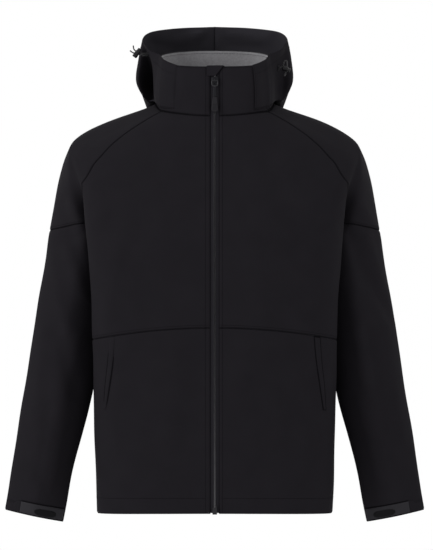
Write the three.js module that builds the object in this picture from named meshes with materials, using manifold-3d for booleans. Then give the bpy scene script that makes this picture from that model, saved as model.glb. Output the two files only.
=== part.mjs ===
// Softshell jacket with a stand collar, a hood let down behind the neck and a full-length zip,
// filled out as if worn. Millimetres, +Z up, the front faces -Y and +X is the wearer's left.
// The origin is the middle of the neck opening, level with the neck ends of the shoulders.
// Each cloth piece is a wall over a grid of points, and neighbours share the points of their seam.
import * as THREE from "three";
import Module from "manifold-3d";
import { mergeVertices } from "three/addons/utils/BufferGeometryUtils.js";

const wasm = await Module();
wasm.setup();

// Driving sizes
const CLOTH = 2; // bonded softshell, with its turned edges
const LINING = 1.4; // fleece facing inside the collar
const SEAM_GAP = 0.36;
const ZIP_HALF = 7.5; // centre front edge of each front, from the middle
const HEM_Z = -729;
const COLLAR_TOP_FRONT = 65.5;
const COLLAR_TOP_BACK = 101;
const COLLAR_NARROWING = 0.945; // width of the top edge to the width of the seam
const COLLAR_LEAN = 0.84;
const COLLAR_FORWARD = 3; // the top edge stands this much further forward
const COLLAR_SWELL = 3;
const COLLAR_SWELL_WIDTH = 50; // width beside the zip over which the swell grows

// Zip
const CHAIN_HALF = 2.3;
const CHAIN_PROUD = 0.6;
const TAPE_INNER = 2.6; // edge of each tape beside the chain, from the middle
const TAPE_THICK = 1;
const CHAIN_BOTTOM = -715;
const CHAIN_TOP = 61;
const STOP = { half: 4.2, bottom: -730, top: -716, lift: 0.2, thick: 2.8, taper: 0.8 };
const HINGE_Z = 39;
const PLATE = { top: 7, bottom: -8, topHalf: 6, bottomHalf: 4.6, corner: 1, lift: 0.9, thick: 2.4 };
const BAIL = { half: 1, reach: 4.8, leg: 1.4, sunk: 1.4, window: 2.6, bar: 1.1 };
const LINK = { half: 6, wire: 1.6, corner: 1, shoulder: 2, drop: 10.6, neckEnd: 28.6, neckTop: 1.9,
  neckBottom: 3.2 };
const PULL = { top: 28.9, bottom: 57, topHalf: 3.6, bottomHalf: 6, thick: 3.4 };
const GARAGE = { bottom: 48, height: 19, outer: -14, lower: 1, upper: 16, lift: 0.9, thick: 1.4 };

// Pocket welt on the front's grid. Columns: row of the grid, x of its front and back edges.
const WELT = [[4.96, 177, 186], [4.3, 181, 189], [3.65, 187, 193.5], [2.97, 193.5, 197]];
const WELT_THICK = 1.2;
const WELT_LIFT = 0.4;

// Cuff tab and its moulded grip, as rows and columns of the sleeve's grid.
const TAB = { low: 0.06, high: 0.52, start: 0.5, end: 6.5, thick: 1.4, lift: 0.6, rounded: 0.1,
  blunt: 0.2 };
const GRIP = { middle: 0.23, half: 0.14, start: 1.5, end: 4, thick: 1, lift: 0.35, endHeight: 0.35 };

// Hood drawcord, its eyelets and locks. Sides are the wearer's.
const CORD_RADIUS = 1.2;
const CORD_SIDES = 8;
const CORD_STEPS = 14;
const LOCK_CLEARANCE = 0.35;
const EYELET = { outer: 4.8, inner: 3.1, thick: 1.1, chamfer: 0.6, lift: 0.95, sides: 20 };
const CORDS = {
  hood_cord_right_1: [[-121.1, 11.9, 92.5], [-130, 8.1, 92.7], [-134.5, 4.8, 93.6],
    [-139.5, 1.2, 95], [-143.4, -1.8, 97.3], [-145.6, -3.8, 100.6], [-146.4, -5.6, 106]],
  hood_cord_right_2: [[-121.3, 12, 89.6], [-130, 8.1, 89.2], [-134.5, 4.8, 90],
    [-139.5, 1.2, 91.5], [-143.8, -1.8, 92.4], [-147.6, -4.6, 93.6], [-152, -8, 96.6]],
  hood_cord_left: [[115.8, 4.4, 66], [118.6, 2.6, 66.6], [121.6, 0.4, 69.6], [124, -2, 74],
    [126.2, -4.2, 78.6], [129, -5.6, 78.2], [129.8, -6, 72], [128.5, -6, 63.5], [127, -6, 56.5],
    [125, -6.4, 51.5]],
};
const LOCKS = {
  right: { at: [-139.5, 1, 93.3], axis: [0.573, 0, 0.82], half: 9.5, radius: 4.6 },
  left: { at: [128.5, -6, 63.5], axis: [0.94, 0, -0.34], half: 7.5, radius: 4.8 },
};
// Turned profile of a lock. Columns: share of its radius, share of its half length.
const LOCK_PROFILE = [[0, -1], [0.7, -1], [1, -0.82], [1, 0.3], [0.75, 0.4], [0.75, 0.75], [0.5, 1],
  [0, 1]];
const LOCK_SIDES = 14;
const BORE_SIDES = 12;

// Columns and rows of the panels
const FRONT_SHARES = [0, 0.13, 0.26, 0.38, 0.48, 0.56, 0.62, 0.665, 0.7, 0.75, 0.82, 0.91, 1];
const FOLD_SHARE = 0.7; // the share of the front's columns where its fold runs
const SLEEVE_COLUMNS = 16;
const BACK_COLUMNS = 8;
const CHEST_ROWS = 4;
const SKIRT_ROWS = 5;
const YOKE_ROWS = 8;
const SLEEVE_ROWS = 10;
const COLLAR_ROWS = 3;

// Torso below the armholes. Columns: height of the section, centre front depth, x and y of the
// front fold, of the hollow behind it, of the side seam and of the shoulder blade line, and the
// centre back depth.
const TORSO = [
  [-742, 121, 208, -60, 211, -28, 209, 6, 176, 82, 117],
  [-620, 123, 211, -60, 214, -28, 211, 6, 178, 82, 113],
  [-520, 126, 215, -62, 215, -28, 208, 10, 178, 82, 110],
  [-425, 130, 218, -66, 208, -32, 197, 14, 176, 84, 111],
  [-351, 134, 220, -70, 200, -38, 185, 16, 172, 86, 116],
  [-279, 137, 225, -74, 198, -42, 173, 20, 166, 90, 122],
  [-235, 138, 229, -75, 196, -42, 167, 24, 160, 92, 126],
];
// Rows of the torso from the armhole down. Columns: heights at the centre front, the front fold,
// the side seam and the centre back.
const ARMHOLE_ROW = [-235, -235, -235, -235];
const WAIST_ROW = [-400, -421, -427, -430];
const HEM_ROW = [HEM_Z, HEM_Z - 2, HEM_Z - 3, HEM_Z - 6];

// Yoke above the armholes, from the armhole ring (0) to the neck ring (1), one table a line.
// Columns: station, x, y, z.
const YOKE_STATIONS = [0, 0.15, 0.3, 0.45, 0.6, 0.8, 1];
const CENTRE_FRONT = [[0, -138, -235], [0, -134, -203], [0, -129, -171], [0, -123, -140],
  [0, -115, -108], [0, -103, -65], [0, -88, -23]];
const FRONT_FOLD = [[229, -75, -235], [231, -80, -203], [233, -82, -171], [237, -76, -139],
  [243, -58, -100], [196, -48, -58], [95, -52, -13]];
const FRONT_HOLLOW = [[196, -42, -235], [221, -52, -202], [233, -67, -167], [242, -67, -134],
  [249, -47, -94], [197, -40, -53], [97.5, -44, -11]];
const FRONT_VALLEY = [[167, 24, -235], [205, -16, -201], [231, -52, -163], [246, -58, -129],
  [253, -36, -88], [197, -32, -48], [100, -36, -9]];
const ARM_FRONT = [[234, -40, -238], [251, -41, -190], [260, -43, -148], [262, -40, -112],
  [256, -14, -73], [195, -12, -36], [103.5, -16, -4]];
const RIDGE = [[300, 25, -240], [289, 22, -180], [279, 19, -128], [267, 16, -90],
  [247, 13, -60], [190, 10, -29], [105.5, 8, 0]];
const ARM_BACK = [[234, 90, -238], [252, 84, -190], [260, 76, -148], [256, 64, -112],
  [247, 44, -75], [194, 34, -37], [104, 28, 4]];
const BACK_VALLEY = [[167, 24, -235], [192, 62, -200], [212, 82, -160], [222, 84, -126],
  [232, 70, -95], [188, 58, -46], [98.5, 44, 7]];
const BLADE = [[160, 92, -235], [175, 101, -199], [185, 105, -162], [188, 105, -128],
  [184, 99, -94], [148, 86, -42], [82, 62, 11]];
const CENTRE_BACK = [[0, 126, -235], [0, 128, -198], [0, 127, -160], [0, 124, -122],
  [0, 117, -82], [0, 104, -30], [0, 84, 18]];

// Places along the ring of the column that follows the front fold, and of the raglan seams, and
// the front's bulge. Columns: station, place of that column, of the seam in front and of the seam
// behind, reach of the bulge. Place 1 is the front fold, 3 the front valley, 5 the ridge, 7 the
// back valley, 8 the blade.
const RAGLAN = [[0, 1, 3, 7, 0.99], [0.13, 1, 2.56, 7.22, 0.99], [0.3, 1, 1.56, 7.6, 0.98],
  [0.4, 0.94, 1.13, 7.77, 0.96], [0.45, 0.9, 0.985, 7.85, 0.94], [0.6, 0.72, 0.862, 8, 0.86],
  [0.73, 0.685, 0.844, 8, 0.82], [0.86, 0.685, 0.875, 8, 0.82], [1, 0.75, 1, 8, 0.88]];
// The seam across the upper sleeve: its station at the raglan seams and at the ridge.
const SLEEVE_SEAM_EDGE = 0.13;
const SLEEVE_SEAM_RIDGE = 0.035;
const SLEEVE_SEAM_CURVE = 1.5;

// Sleeve below the armhole. Columns: share of the way to the cuff, x and z of the outer line,
// x and z of the inner seam, y of the middle, half depth.
const SLEEVE = [
  [0, 300, -240, 167, -235, 25, 65],
  [0.08, 306, -281, 179, -275, 25, 63],
  [0.22, 318, -351, 192, -347, 24, 60],
  [0.38, 331, -432, 206, -432, 20, 57],
  [0.52, 341, -500, 217, -510, 15, 53],
  [0.68, 354, -579, 238, -592, 9, 47],
  [0.82, 364, -647, 256, -662, 3, 41],
  [0.92, 371, -694, 265, -714, -2, 36],
  [1, 377, -727, 272, -749, -5, 31],
];

// Bulge of the torso sections in front and behind, as the power of a superellipse and the share
// of its half width that the panel takes up.
const FRONT_BULGE = { power: 2.8, reach: 0.99 }; // its reach over the yoke is in RAGLAN
const BACK_BULGE = { power: 2.3, reach: 0.84 };
const ARC_STEPS = 24;
const SPAN_STEPS = 10;

const vec = (x, y, z) => new THREE.Vector3(x, y, z);
const mix = (a, b, u) => a + (b - a) * u;

// Smooth reading of a table between its rows, by the first column.
function track(rows) {
  const last = rows.length - 1;
  const slope = (i, c) => {
    const a = rows[Math.max(i - 1, 0)];
    const b = rows[Math.min(i + 1, last)];
    return (b[c] - a[c]) / (b[0] - a[0]);
  };
  return (station) => {
    let i = 0;
    while (i < last - 1 && station > rows[i + 1][0]) i += 1;
    const [a, b] = [rows[i], rows[i + 1]];
    const h = b[0] - a[0];
    const u = Math.min(1, Math.max(0, (station - a[0]) / h));
    return a.slice(1).map((_, k) => {
      const c = k + 1;
      const [m0, m1] = [slope(i, c) * h, slope(i + 1, c) * h];
      const [u2, u3] = [u * u, u * u * u];
      return (2 * u3 - 3 * u2 + 1) * a[c] + (u3 - 2 * u2 + u) * m0 +
        (3 * u2 - 2 * u3) * b[c] + (u3 - u2) * m1;
    });
  };
}
const lineTrack = (points) => {
  const read = track(points.map((p, i) => [YOKE_STATIONS[i], ...p]));
  return (t) => vec(...read(t));
};

// Stretch of a superellipse from a centre line point to a fold, at a share of the fold's x.
function arcPoint(centre, fold, { power, reach }, share) {
  const height = (x) => Math.pow(Math.max(0, 1 - Math.pow(x, power)), 1 / power);
  const end = height(reach);
  const foot = (fold.y - centre.y * end) / (1 - end);
  return vec(fold.x * share, mix(foot, centre.y, height(reach * share)),
    mix(centre.z, fold.z, share * share));
}

// A section curve: an arc from the centre front to the first key, a spline through the keys, and
// an arc to the centre back. Places count the keys: 0 centre front, 1 first key, and so on.
function section(front, keys, back, bulge = FRONT_BULGE) {
  const samples = [];
  const shareAt = (k, power) => Math.pow(Math.sin((k / ARC_STEPS) * (Math.PI / 2)), 2 / power);
  for (let k = 0; k < ARC_STEPS; k += 1) {
    const share = shareAt(k, bulge.power);
    samples.push({ place: share, at: arcPoint(front, keys[0], bulge, share) });
  }
  const lastKey = keys[keys.length - 1];
  const lead = 0.93;
  const spline = new THREE.CatmullRomCurve3([arcPoint(front, keys[0], bulge, lead), ...keys,
    arcPoint(back, lastKey, BACK_BULGE, lead)], false, "centripetal");
  const spans = keys.length - 1;
  for (let k = 0; k < spans * SPAN_STEPS; k += 1) {
    const along = k / SPAN_STEPS;
    samples.push({ place: 1 + along, at: spline.getPoint((1 + along) / (keys.length + 1)) });
  }
  for (let k = ARC_STEPS; k >= 0; k -= 1) {
    const share = shareAt(k, BACK_BULGE.power);
    samples.push({ place: keys.length + 1 - share, at: arcPoint(back, lastKey, BACK_BULGE, share) });
  }
  return measured(samples);
}

// Adds to each sample its length along the curve.
function measured(samples) {
  let length = 0;
  samples.forEach((s, i) => {
    if (i) length += s.at.distanceTo(samples[i - 1].at);
    s.length = length;
  });
  return samples;
}
function lookUp(samples, key, value, wanted) {
  let i = 0;
  while (i < samples.length - 2 && value > samples[i + 1][key]) i += 1;
  const [a, b] = [samples[i], samples[i + 1]];
  const u = Math.min(1, Math.max(0, (value - a[key]) / (b[key] - a[key])));
  return wanted === "at" ? a.at.clone().lerp(b.at, u) : mix(a[wanted], b[wanted], u);
}
// The point at a share of the length between two places of a section.
function between(samples, from, to, share) {
  const start = lookUp(samples, "place", from, "length");
  const end = lookUp(samples, "place", to, "length");
  return lookUp(samples, "length", mix(start, end, share), "at");
}

// Torso section through heights at the centre front, fold, side seam and centre back.
const torsoAt = track(TORSO);
function torsoSection([zFront, zFold, zSide, zBack]) {
  const front = torsoAt(zFront);
  const fold = torsoAt(zFold);
  const side = torsoAt(zSide);
  const back = torsoAt(zBack);
  return section(vec(0, -front[0], zFront), [vec(fold[1], fold[2], zFold),
    vec(fold[3], fold[4], zFold), vec(side[5], side[6], zSide), vec(back[7], back[8], zBack)],
  vec(0, back[9], zBack));
}
const mixRows = (a, b, u) => a.map((z, k) => mix(z, b[k], u));

// Yoke section at a station.
const raglanAt = track(RAGLAN);
const lastOf = (list) => list[list.length - 1];
const yokeLines = [CENTRE_FRONT, FRONT_FOLD, FRONT_HOLLOW, FRONT_VALLEY, ARM_FRONT, RIDGE, ARM_BACK,
  BACK_VALLEY, BLADE, CENTRE_BACK].map(lineTrack);
function yokeSection(t) {
  const points = yokeLines.map((line) => line(t));
  const reach = lastOf(raglanAt(t));
  return section(points[0], points.slice(1, -1), lastOf(points), { ...FRONT_BULGE, reach });
}
const SIDE_PLACE = 3;
const ARM_FRONT_PLACE = 4;
const ARM_BACK_PLACE = 6;
const sleeveSeam = (c) =>
  mix(SLEEVE_SEAM_RIDGE, SLEEVE_SEAM_EDGE, Math.pow(Math.abs(2 * c - 1), SLEEVE_SEAM_CURVE));

// The place on a section where the front begins, beside the zip.
const zipPlace = (samples) => ZIP_HALF / lookUp(samples, "place", 1, "at").x;

// Points of the front, back and sleeve, at a share c of their width.
function frontPoint(samples, fold, seam, c) {
  if (c <= FOLD_SHARE) return between(samples, zipPlace(samples), fold, c / FOLD_SHARE);
  return between(samples, fold, seam, (c - FOLD_SHARE) / (1 - FOLD_SHARE));
}
function sleeveCapPoint(samples, front, back, c) {
  if (c <= 0.25) return between(samples, front, ARM_FRONT_PLACE, 4 * c);
  if (c >= 0.75) return between(samples, ARM_BACK_PLACE, back, 4 * c - 3);
  return between(samples, ARM_FRONT_PLACE, ARM_BACK_PLACE, 2 * c - 0.5);
}
const frontOfTorso = (samples, c) => frontPoint(samples, 1, SIDE_PLACE, c);
const backOfTorso = (samples, c) => between(samples, SIDE_PLACE, SIDE_PLACE + 2, c);
function yokePoint(panel, t, c) {
  const samples = yokeSection(t);
  const [fold, front, back] = raglanAt(t);
  if (panel === "front") return frontPoint(samples, fold, front, c);
  if (panel === "sleeve") return sleeveCapPoint(samples, front, back, c);
  return between(samples, back, yokeLines.length - 1, c);
}

// Ring of the sleeve at a share of the way from the armhole to the cuff.
const sleeveAt = track(SLEEVE);
function sleevePoint(w, c) {
  const [xOut, zOut, xIn, zIn, yMid, depth] = sleeveAt(w);
  const [xMid, zMid] = [(xOut + xIn) / 2, (zOut + zIn) / 2];
  const ring = new THREE.CatmullRomCurve3([vec(xIn, yMid, zIn), vec(xMid, yMid - depth, zMid),
    vec(xOut, yMid, zOut), vec(xMid, yMid + depth, zMid)], true, "centripetal");
  return ring.getPointAt(Math.min(c, 0.999999));
}

// Grids of points: rows upwards, columns from the centre front round to the back.
const steps = (n) => Array.from({ length: n + 1 }, (_, i) => i / n);
const edgeStations = [0, SLEEVE_SEAM_EDGE / 2,
  ...steps(YOKE_ROWS).map((r) => mix(SLEEVE_SEAM_EDGE, 1, r))];
const skirtSections = steps(SKIRT_ROWS).map((u) => torsoSection(mixRows(HEM_ROW, WAIST_ROW, u)));
const chestSections = steps(CHEST_ROWS)
  .map((u) => torsoSection(mixRows(WAIST_ROW, ARMHOLE_ROW, u)));

const frontLower = skirtSections.map((s) => FRONT_SHARES.map((c) => frontOfTorso(s, c)));
const frontUpper = [
  ...chestSections.map((s) => FRONT_SHARES.map((c) => frontOfTorso(s, c))),
  ...edgeStations.slice(1).map((t) => FRONT_SHARES.map((c) => yokePoint("front", t, c))),
];
const backHalf = [
  ...skirtSections.slice(0, -1).map((s) => steps(BACK_COLUMNS).map((c) => backOfTorso(s, c))),
  ...chestSections.map((s) => steps(BACK_COLUMNS).map((c) => backOfTorso(s, c))),
  ...edgeStations.slice(1).map((t) => steps(BACK_COLUMNS).map((c) => yokePoint("back", t, c))),
];
const sleeveTube = steps(SLEEVE_ROWS).map((u) =>
  steps(SLEEVE_COLUMNS).map((c, i) => sleevePoint(1 - u, i === SLEEVE_COLUMNS ? 0 : c)));
const sleeveLower = [...sleeveTube, ...[0.5, 1].map((share) =>
  steps(SLEEVE_COLUMNS).map((c) => yokePoint("sleeve", share * sleeveSeam(c), c)))];
const sleeveUpper = steps(YOKE_ROWS).map((r) =>
  steps(SLEEVE_COLUMNS).map((c) => yokePoint("sleeve", mix(sleeveSeam(c), 1, r), c)));

const mirror = (grid) => grid.map((row) => row.map((p) => vec(-p.x, p.y, p.z)).reverse());
const joinRows = (a, b) => a.map((row, i) => [...row, ...b[i].slice(1)]);
const backWhole = joinRows(backHalf, mirror(backHalf));

// The neck ring, from the left centre front round the back to the right centre front.
const neckHalf = [...lastOf(frontUpper), ...lastOf(sleeveUpper).slice(1),
  ...lastOf(backHalf).slice(1)];
const neckRing = joinRows([neckHalf], mirror([neckHalf]))[0];
const NECK_FRONT_Y = -88;
const NECK_BACK_Y = 84;

// The stand collar leans in a little from its seam to its top edge, and swells at its sides.
function collarPoint(base, h) {
  const behind = (base.y - NECK_FRONT_Y) / (NECK_BACK_Y - NECK_FRONT_Y);
  const fromZip = Math.max(0, Math.abs(base.x) - ZIP_HALF);
  const inset = Math.sign(base.x) * fromZip * (1 - COLLAR_NARROWING);
  const top = vec(base.x - inset, base.y * COLLAR_LEAN - COLLAR_FORWARD,
    mix(COLLAR_TOP_FRONT, COLLAR_TOP_BACK, behind));
  const swell = COLLAR_SWELL * Math.sin(Math.PI * h) * Math.min(1, fromZip / COLLAR_SWELL_WIDTH);
  const out = vec(base.x, base.y, 0).normalize().multiplyScalar(swell);
  return base.clone().lerp(top, h).add(out);
}
const collar = steps(COLLAR_ROWS).map((h) => neckRing.map((p) => collarPoint(p, h)));

// Face normals of all the panels are added up where they share a point, so that the walls of
// neighbours meet squarely. Where one family of panels folds sharply back against another, as at
// the armhole, each keeps its own.
const BLEND_LIMIT = 0.2;
const SAME_POINT = 0.02;
const keyOf = (p) => [p.x, p.y, p.z].map((v) => Math.round(v / SAME_POINT)).join();
function gridNormals(grid) {
  const sums = grid.map((row) => row.map(() => vec(0, 0, 0)));
  for (let r = 0; r < grid.length - 1; r += 1) {
    for (let c = 0; c < grid[0].length - 1; c += 1) {
      const corners = [[r, c], [r, c + 1], [r + 1, c + 1], [r + 1, c]];
      const [p0, p1, p2, p3] = corners.map(([i, j]) => grid[i][j]);
      const n = p2.clone().sub(p0).cross(p3.clone().sub(p1));
      corners.forEach(([i, j]) => sums[i][j].add(n));
    }
  }
  return sums;
}
function sharedNormals(grids, families) {
  const shared = new Map();
  grids.forEach((grid, g) => {
    const own = gridNormals(grid);
    grid.forEach((row, r) => row.forEach((p, c) => {
      const key = keyOf(p);
      if (!shared.has(key)) shared.set(key, {});
      const sums = shared.get(key);
      sums[families[g]] = (sums[families[g]] ?? vec(0, 0, 0)).add(own[r][c]);
    }));
  });
  const unit = (v) => v.clone().normalize();
  shared.forEach((sums) => {
    const { torso, sleeve, collar: stand } = sums;
    if (torso && sleeve && unit(torso).dot(unit(sleeve)) > BLEND_LIMIT) {
      sums.torso = torso.clone().add(sleeve);
      sums.sleeve = sums.torso;
    }
    const body = sums.torso ?? sums.sleeve;
    if (stand && body && unit(stand).dot(unit(body)) > BLEND_LIMIT) {
      const all = unit(stand).add(unit(body));
      Object.keys(sums).forEach((family) => {
        sums[family] = all;
      });
    }
  });
  return grids.map((grid, g) =>
    grid.map((row) => row.map((p) => unit(shared.get(keyOf(p))[families[g]]))));
}

// Moves the border points of a grid inwards by half the seam gap.
function trimmed(grid) {
  const rows = grid.length - 1;
  const columns = grid[0].length - 1;
  const inwards = (p, next, along) => {
    const tangent = along.clone().normalize();
    const way = next.clone().sub(p);
    way.sub(tangent.multiplyScalar(way.dot(tangent)));
    return way.normalize().multiplyScalar(SEAM_GAP / 2);
  };
  return grid.map((row, r) => row.map((p, c) => {
    const moved = p.clone();
    if (c === 0 || c === columns) {
      const along = grid[Math.min(r + 1, rows)][c].clone().sub(grid[Math.max(r - 1, 0)][c]);
      moved.add(inwards(p, row[c === 0 ? 1 : columns - 1], along));
    }
    if (r === 0 || r === rows) {
      const along = row[Math.min(c + 1, columns)].clone().sub(row[Math.max(c - 1, 0)]);
      moved.add(inwards(p, grid[r === 0 ? 1 : rows - 1][c], along));
    }
    return moved;
  }));
}

function geometryOf(points, triangles) {
  const geometry = new THREE.BufferGeometry();
  geometry.setAttribute("position",
    new THREE.Float32BufferAttribute(points.flatMap((p) => [p.x, p.y, p.z]), 3));
  geometry.setIndex(triangles);
  geometry.computeVertexNormals();
  return geometry;
}

// Reading of a grid of points or normals between its rows and columns.
function sample(grid, row, column) {
  const r = Math.min(Math.max(Math.floor(row), 0), grid.length - 2);
  const c = Math.min(Math.max(Math.floor(column), 0), grid[0].length - 2);
  const low = grid[r][c].clone().lerp(grid[r][c + 1], column - c);
  const high = grid[r + 1][c].clone().lerp(grid[r + 1][c + 1], column - c);
  return low.lerp(high, row - r);
}

// A closed wall between an outer grid and the same grid moved in along its normals. Each quad is
// split along its shorter diagonal, which keeps folds clean.
function wall(grid, normals, thickness, lift = 0) {
  const rows = grid.length;
  const columns = grid[0].length;
  const edge = trimmed(grid);
  const layer = (depth) => edge.flatMap((row, r) =>
    row.map((p, c) => p.clone().addScaledVector(normals[r][c], depth)));
  const points = [...layer(lift), ...layer(lift - thickness)];
  const outer = (r, c) => r * columns + c;
  const inner = (r, c) => rows * columns + r * columns + c;
  const triangles = [];
  const quad = (a, b, c, d) => triangles.push(a, b, c, a, c, d);
  for (let r = 0; r < rows - 1; r += 1) {
    for (let c = 0; c < columns - 1; c += 1) {
      const ring = [[r, c], [r, c + 1], [r + 1, c + 1], [r + 1, c]];
      const [p0, p1, p2, p3] = ring.map(([i, j]) => edge[i][j]);
      if (p0.distanceTo(p2) > p1.distanceTo(p3)) ring.push(ring.shift());
      quad(...ring.map(([i, j]) => outer(i, j)));
      const [first, second, third, fourth] = ring.map(([i, j]) => inner(i, j));
      quad(first, fourth, third, second);
    }
    quad(outer(r, 0), outer(r + 1, 0), inner(r + 1, 0), inner(r, 0));
    const c = columns - 1;
    quad(outer(r, c), inner(r, c), inner(r + 1, c), outer(r + 1, c));
  }
  for (let c = 0; c < columns - 1; c += 1) {
    quad(outer(0, c), inner(0, c), inner(0, c + 1), outer(0, c + 1));
    const r = rows - 1;
    quad(outer(r, c), outer(r, c + 1), inner(r, c + 1), inner(r, c));
  }
  return geometryOf(points, triangles);
}

// A closed solid through rings of points, each ring counterclockwise seen from the end.
function loft(rings) {
  const count = rings[0].length;
  const triangles = [];
  for (let r = 0; r < rings.length - 1; r += 1) {
    for (let k = 0; k < count; k += 1) {
      const [a, b] = [r * count + k, r * count + ((k + 1) % count)];
      triangles.push(a, b, b + count, a, b + count, a + count);
    }
  }
  const end = (rings.length - 1) * count;
  for (let k = 1; k < count - 1; k += 1) {
    triangles.push(0, k + 1, k, end, end + k, end + k + 1);
  }
  return geometryOf(rings.flat(), triangles);
}

const root = new THREE.Group();
root.name = "softshell_jacket";

const material = (color, roughness, metalness = 0) =>
  new THREE.MeshStandardMaterial({ color, roughness, metalness });
const SHELL = material(0x1b1b1f, 0.85);
const FLEECE = material(0x85858a, 0.95);
const TAPE = material(0x151518, 0.8);
const METAL = material(0x2c2c30, 0.35, 0.8);
const RUBBER = material(0x131315, 0.55);
const CORD = material(0x18181b, 0.8);

function add(name, geometry, finish) {
  const mesh = new THREE.Mesh(geometry, finish);
  mesh.name = name;
  root.add(mesh);
  return mesh;
}

// Cloth panels, the left of each pair on the wearer's left.
const panels = {
  front_upper_left: frontUpper,
  front_upper_right: mirror(frontUpper),
  front_lower_left: frontLower,
  front_lower_right: mirror(frontLower),
  back: backWhole,
  sleeve_upper_left: sleeveUpper,
  sleeve_upper_right: mirror(sleeveUpper),
  sleeve_lower_left: sleeveLower,
  sleeve_lower_right: mirror(sleeveLower),
  collar,
};
function familyOf(name) {
  if (name.startsWith("sleeve")) return "sleeve";
  return name === "collar" ? name : "torso";
}
const panelNames = Object.keys(panels);
const panelNormals = sharedNormals(Object.values(panels), panelNames.map(familyOf));
const normalsOf = (name) => panelNormals[panelNames.indexOf(name)];
Object.entries(panels).forEach(([name, grid]) => {
  add(name, wall(grid, normalsOf(name), CLOTH), SHELL);
});

// Grey facing inside the collar.
const collarNormals = normalsOf("collar");
add("collar_lining", wall(collar, collarNormals, LINING, -CLOTH - SEAM_GAP), FLEECE);

// The hood: two halves sewn along the middle, let down into a pouch behind the neck. Their front
// ends lie on the collar. One table a line, a point for each place round the half: the fold where
// it leaves the collar, the bend beside it, the edge beyond, the side, the back corner, the back
// and the middle.
const HOOD_ROUND = [0.31, 0.4, 0.49, 0.6, 0.74, 0.87, 1];
const HOOD_INNER = [[108, -8, 9], [113, 10, 9], [118, 26, 6], [117, 50, 4], [96, 84, 0],
  [54, 108, -30], [0, 113, -42]];
const HOOD_LOW = [[109, -7, 14], [118, 12, 14], [127, 27, 13], [125, 56, 11], [106, 112, -42],
  [60, 140, -92], [0, 150, -108]];
const HOOD_BELLY = [[110, -4, 36], [124, 13, 38], [138, 28, 40], [140, 64, 42], [122, 124, 26],
  [70, 170, 0], [0, 186, -6]];
const HOOD_UPPER = [[112, -3, 72], [125, 12, 77], [136, 29, 82], [136, 66, 86], [118, 120, 89],
  [68, 162, 88], [0, 180, 88]];
const HOOD_RIM = [[119, -7, 98], [127, 9, 108], [131, 26, 117], [127, 62, 129], [108, 104, 139],
  [62, 143, 146], [0, 158, 149]];
// The first three points of the inner, low, belly and upper lines where the bend falls in as a
// deep hollow.
const HOLLOWS = [
  [[108, -8, 9], [112, 16, 8], [118, 28, 6]],
  [[109, -8, 14], [111, 40, 13], [127, 19, 13]],
  [[110, -5, 36], [108, 68, 38], [137, 18, 38]],
  [[112, -5, 70], [114, 36, 75], [135, 21, 80]],
];
const HOLLOW_SHARE = { left: 0.2, right: 1 }; // how far each side takes that form
const HOOD_ON_COLLAR = [0, 0.12, 0.24]; // places round the half where the hood lies on the collar
const HOOD_PLACES = [0, 0.06, 0.12, 0.18, 0.24, 0.275, 0.31, 0.34, 0.37, 0.4, 0.43, 0.46, 0.49,
  0.52, 0.56, 0.6, 0.65, 0.7, 0.75, 0.8, 0.85, 0.9, 0.95, 1];
const HOOD_ROWS = 10;
const HOOD_FRONT_X = 70;
const HOOD_LIFT = CLOTH + 1.6;
const HOOD_SEAM_RISE = 0.045;
const HOOD_RIM_RISE = 0.5; // rise of the rim's end above the collar, in collar heights

// Point outside the collar: share s round the half neck from the hood's front end, height h.
const neckSamples = measured(neckHalf.map((at, index) => ({ at, index, x: at.x })));
const hoodStart = lookUp(neckSamples, "x", HOOD_FRONT_X, "length");
const neckLength = neckSamples[neckSamples.length - 1].length;
function outsideCollar(s, h) {
  const column = lookUp(neckSamples, "length", mix(hoodStart, neckLength, s), "index");
  const out = sample(collarNormals, h * COLLAR_ROWS, column).normalize();
  return sample(collar, h * COLLAR_ROWS, column).addScaledVector(out, HOOD_LIFT);
}
function hoodHalf(hollow) {
  const free = [HOOD_INNER, HOOD_LOW, HOOD_BELLY, HOOD_UPPER, HOOD_RIM];
  const lines = [null, ...free].map((line, k) => {
    const height = (s) => (k === free.length ? 1 + s * HOOD_RIM_RISE
      : mix(HOOD_SEAM_RISE, 1, k / free.length));
    if (!line) return (s) => outsideCollar(s, height(s));
    const deep = HOLLOWS[k - 1] ?? line;
    const points = line.map((p, i) => p.map((v, axis) => mix(v, (deep[i] ?? p)[axis], hollow)));
    const held = HOOD_ON_COLLAR.map((s) => [s, ...outsideCollar(s, height(s))]);
    const read = track([...held, ...HOOD_ROUND.map((s, i) => [s, ...points[i]])]);
    return (s) => (s <= lastOf(HOOD_ON_COLLAR) ? outsideCollar(s, height(s)) : vec(...read(s)));
  });
  const curves = HOOD_PLACES.map((s) =>
    new THREE.CatmullRomCurve3(lines.map((line) => line(s)), false, "centripetal"));
  const grid = steps(HOOD_ROWS).map((u) => curves.map((curve) => curve.getPointAt(u)));
  grid.forEach((row) => {
    lastOf(row).x = 0;
  });
  return grid;
}
const hoods = {
  hood_left: hoodHalf(HOLLOW_SHARE.left),
  hood_right: mirror(hoodHalf(HOLLOW_SHARE.right)),
};
const hoodNormals = sharedNormals(Object.values(hoods), ["torso", "torso"]);
Object.entries(hoods).forEach(([name, grid], i) => {
  add(name, wall(grid, hoodNormals[i], CLOTH), SHELL);
});

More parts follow.
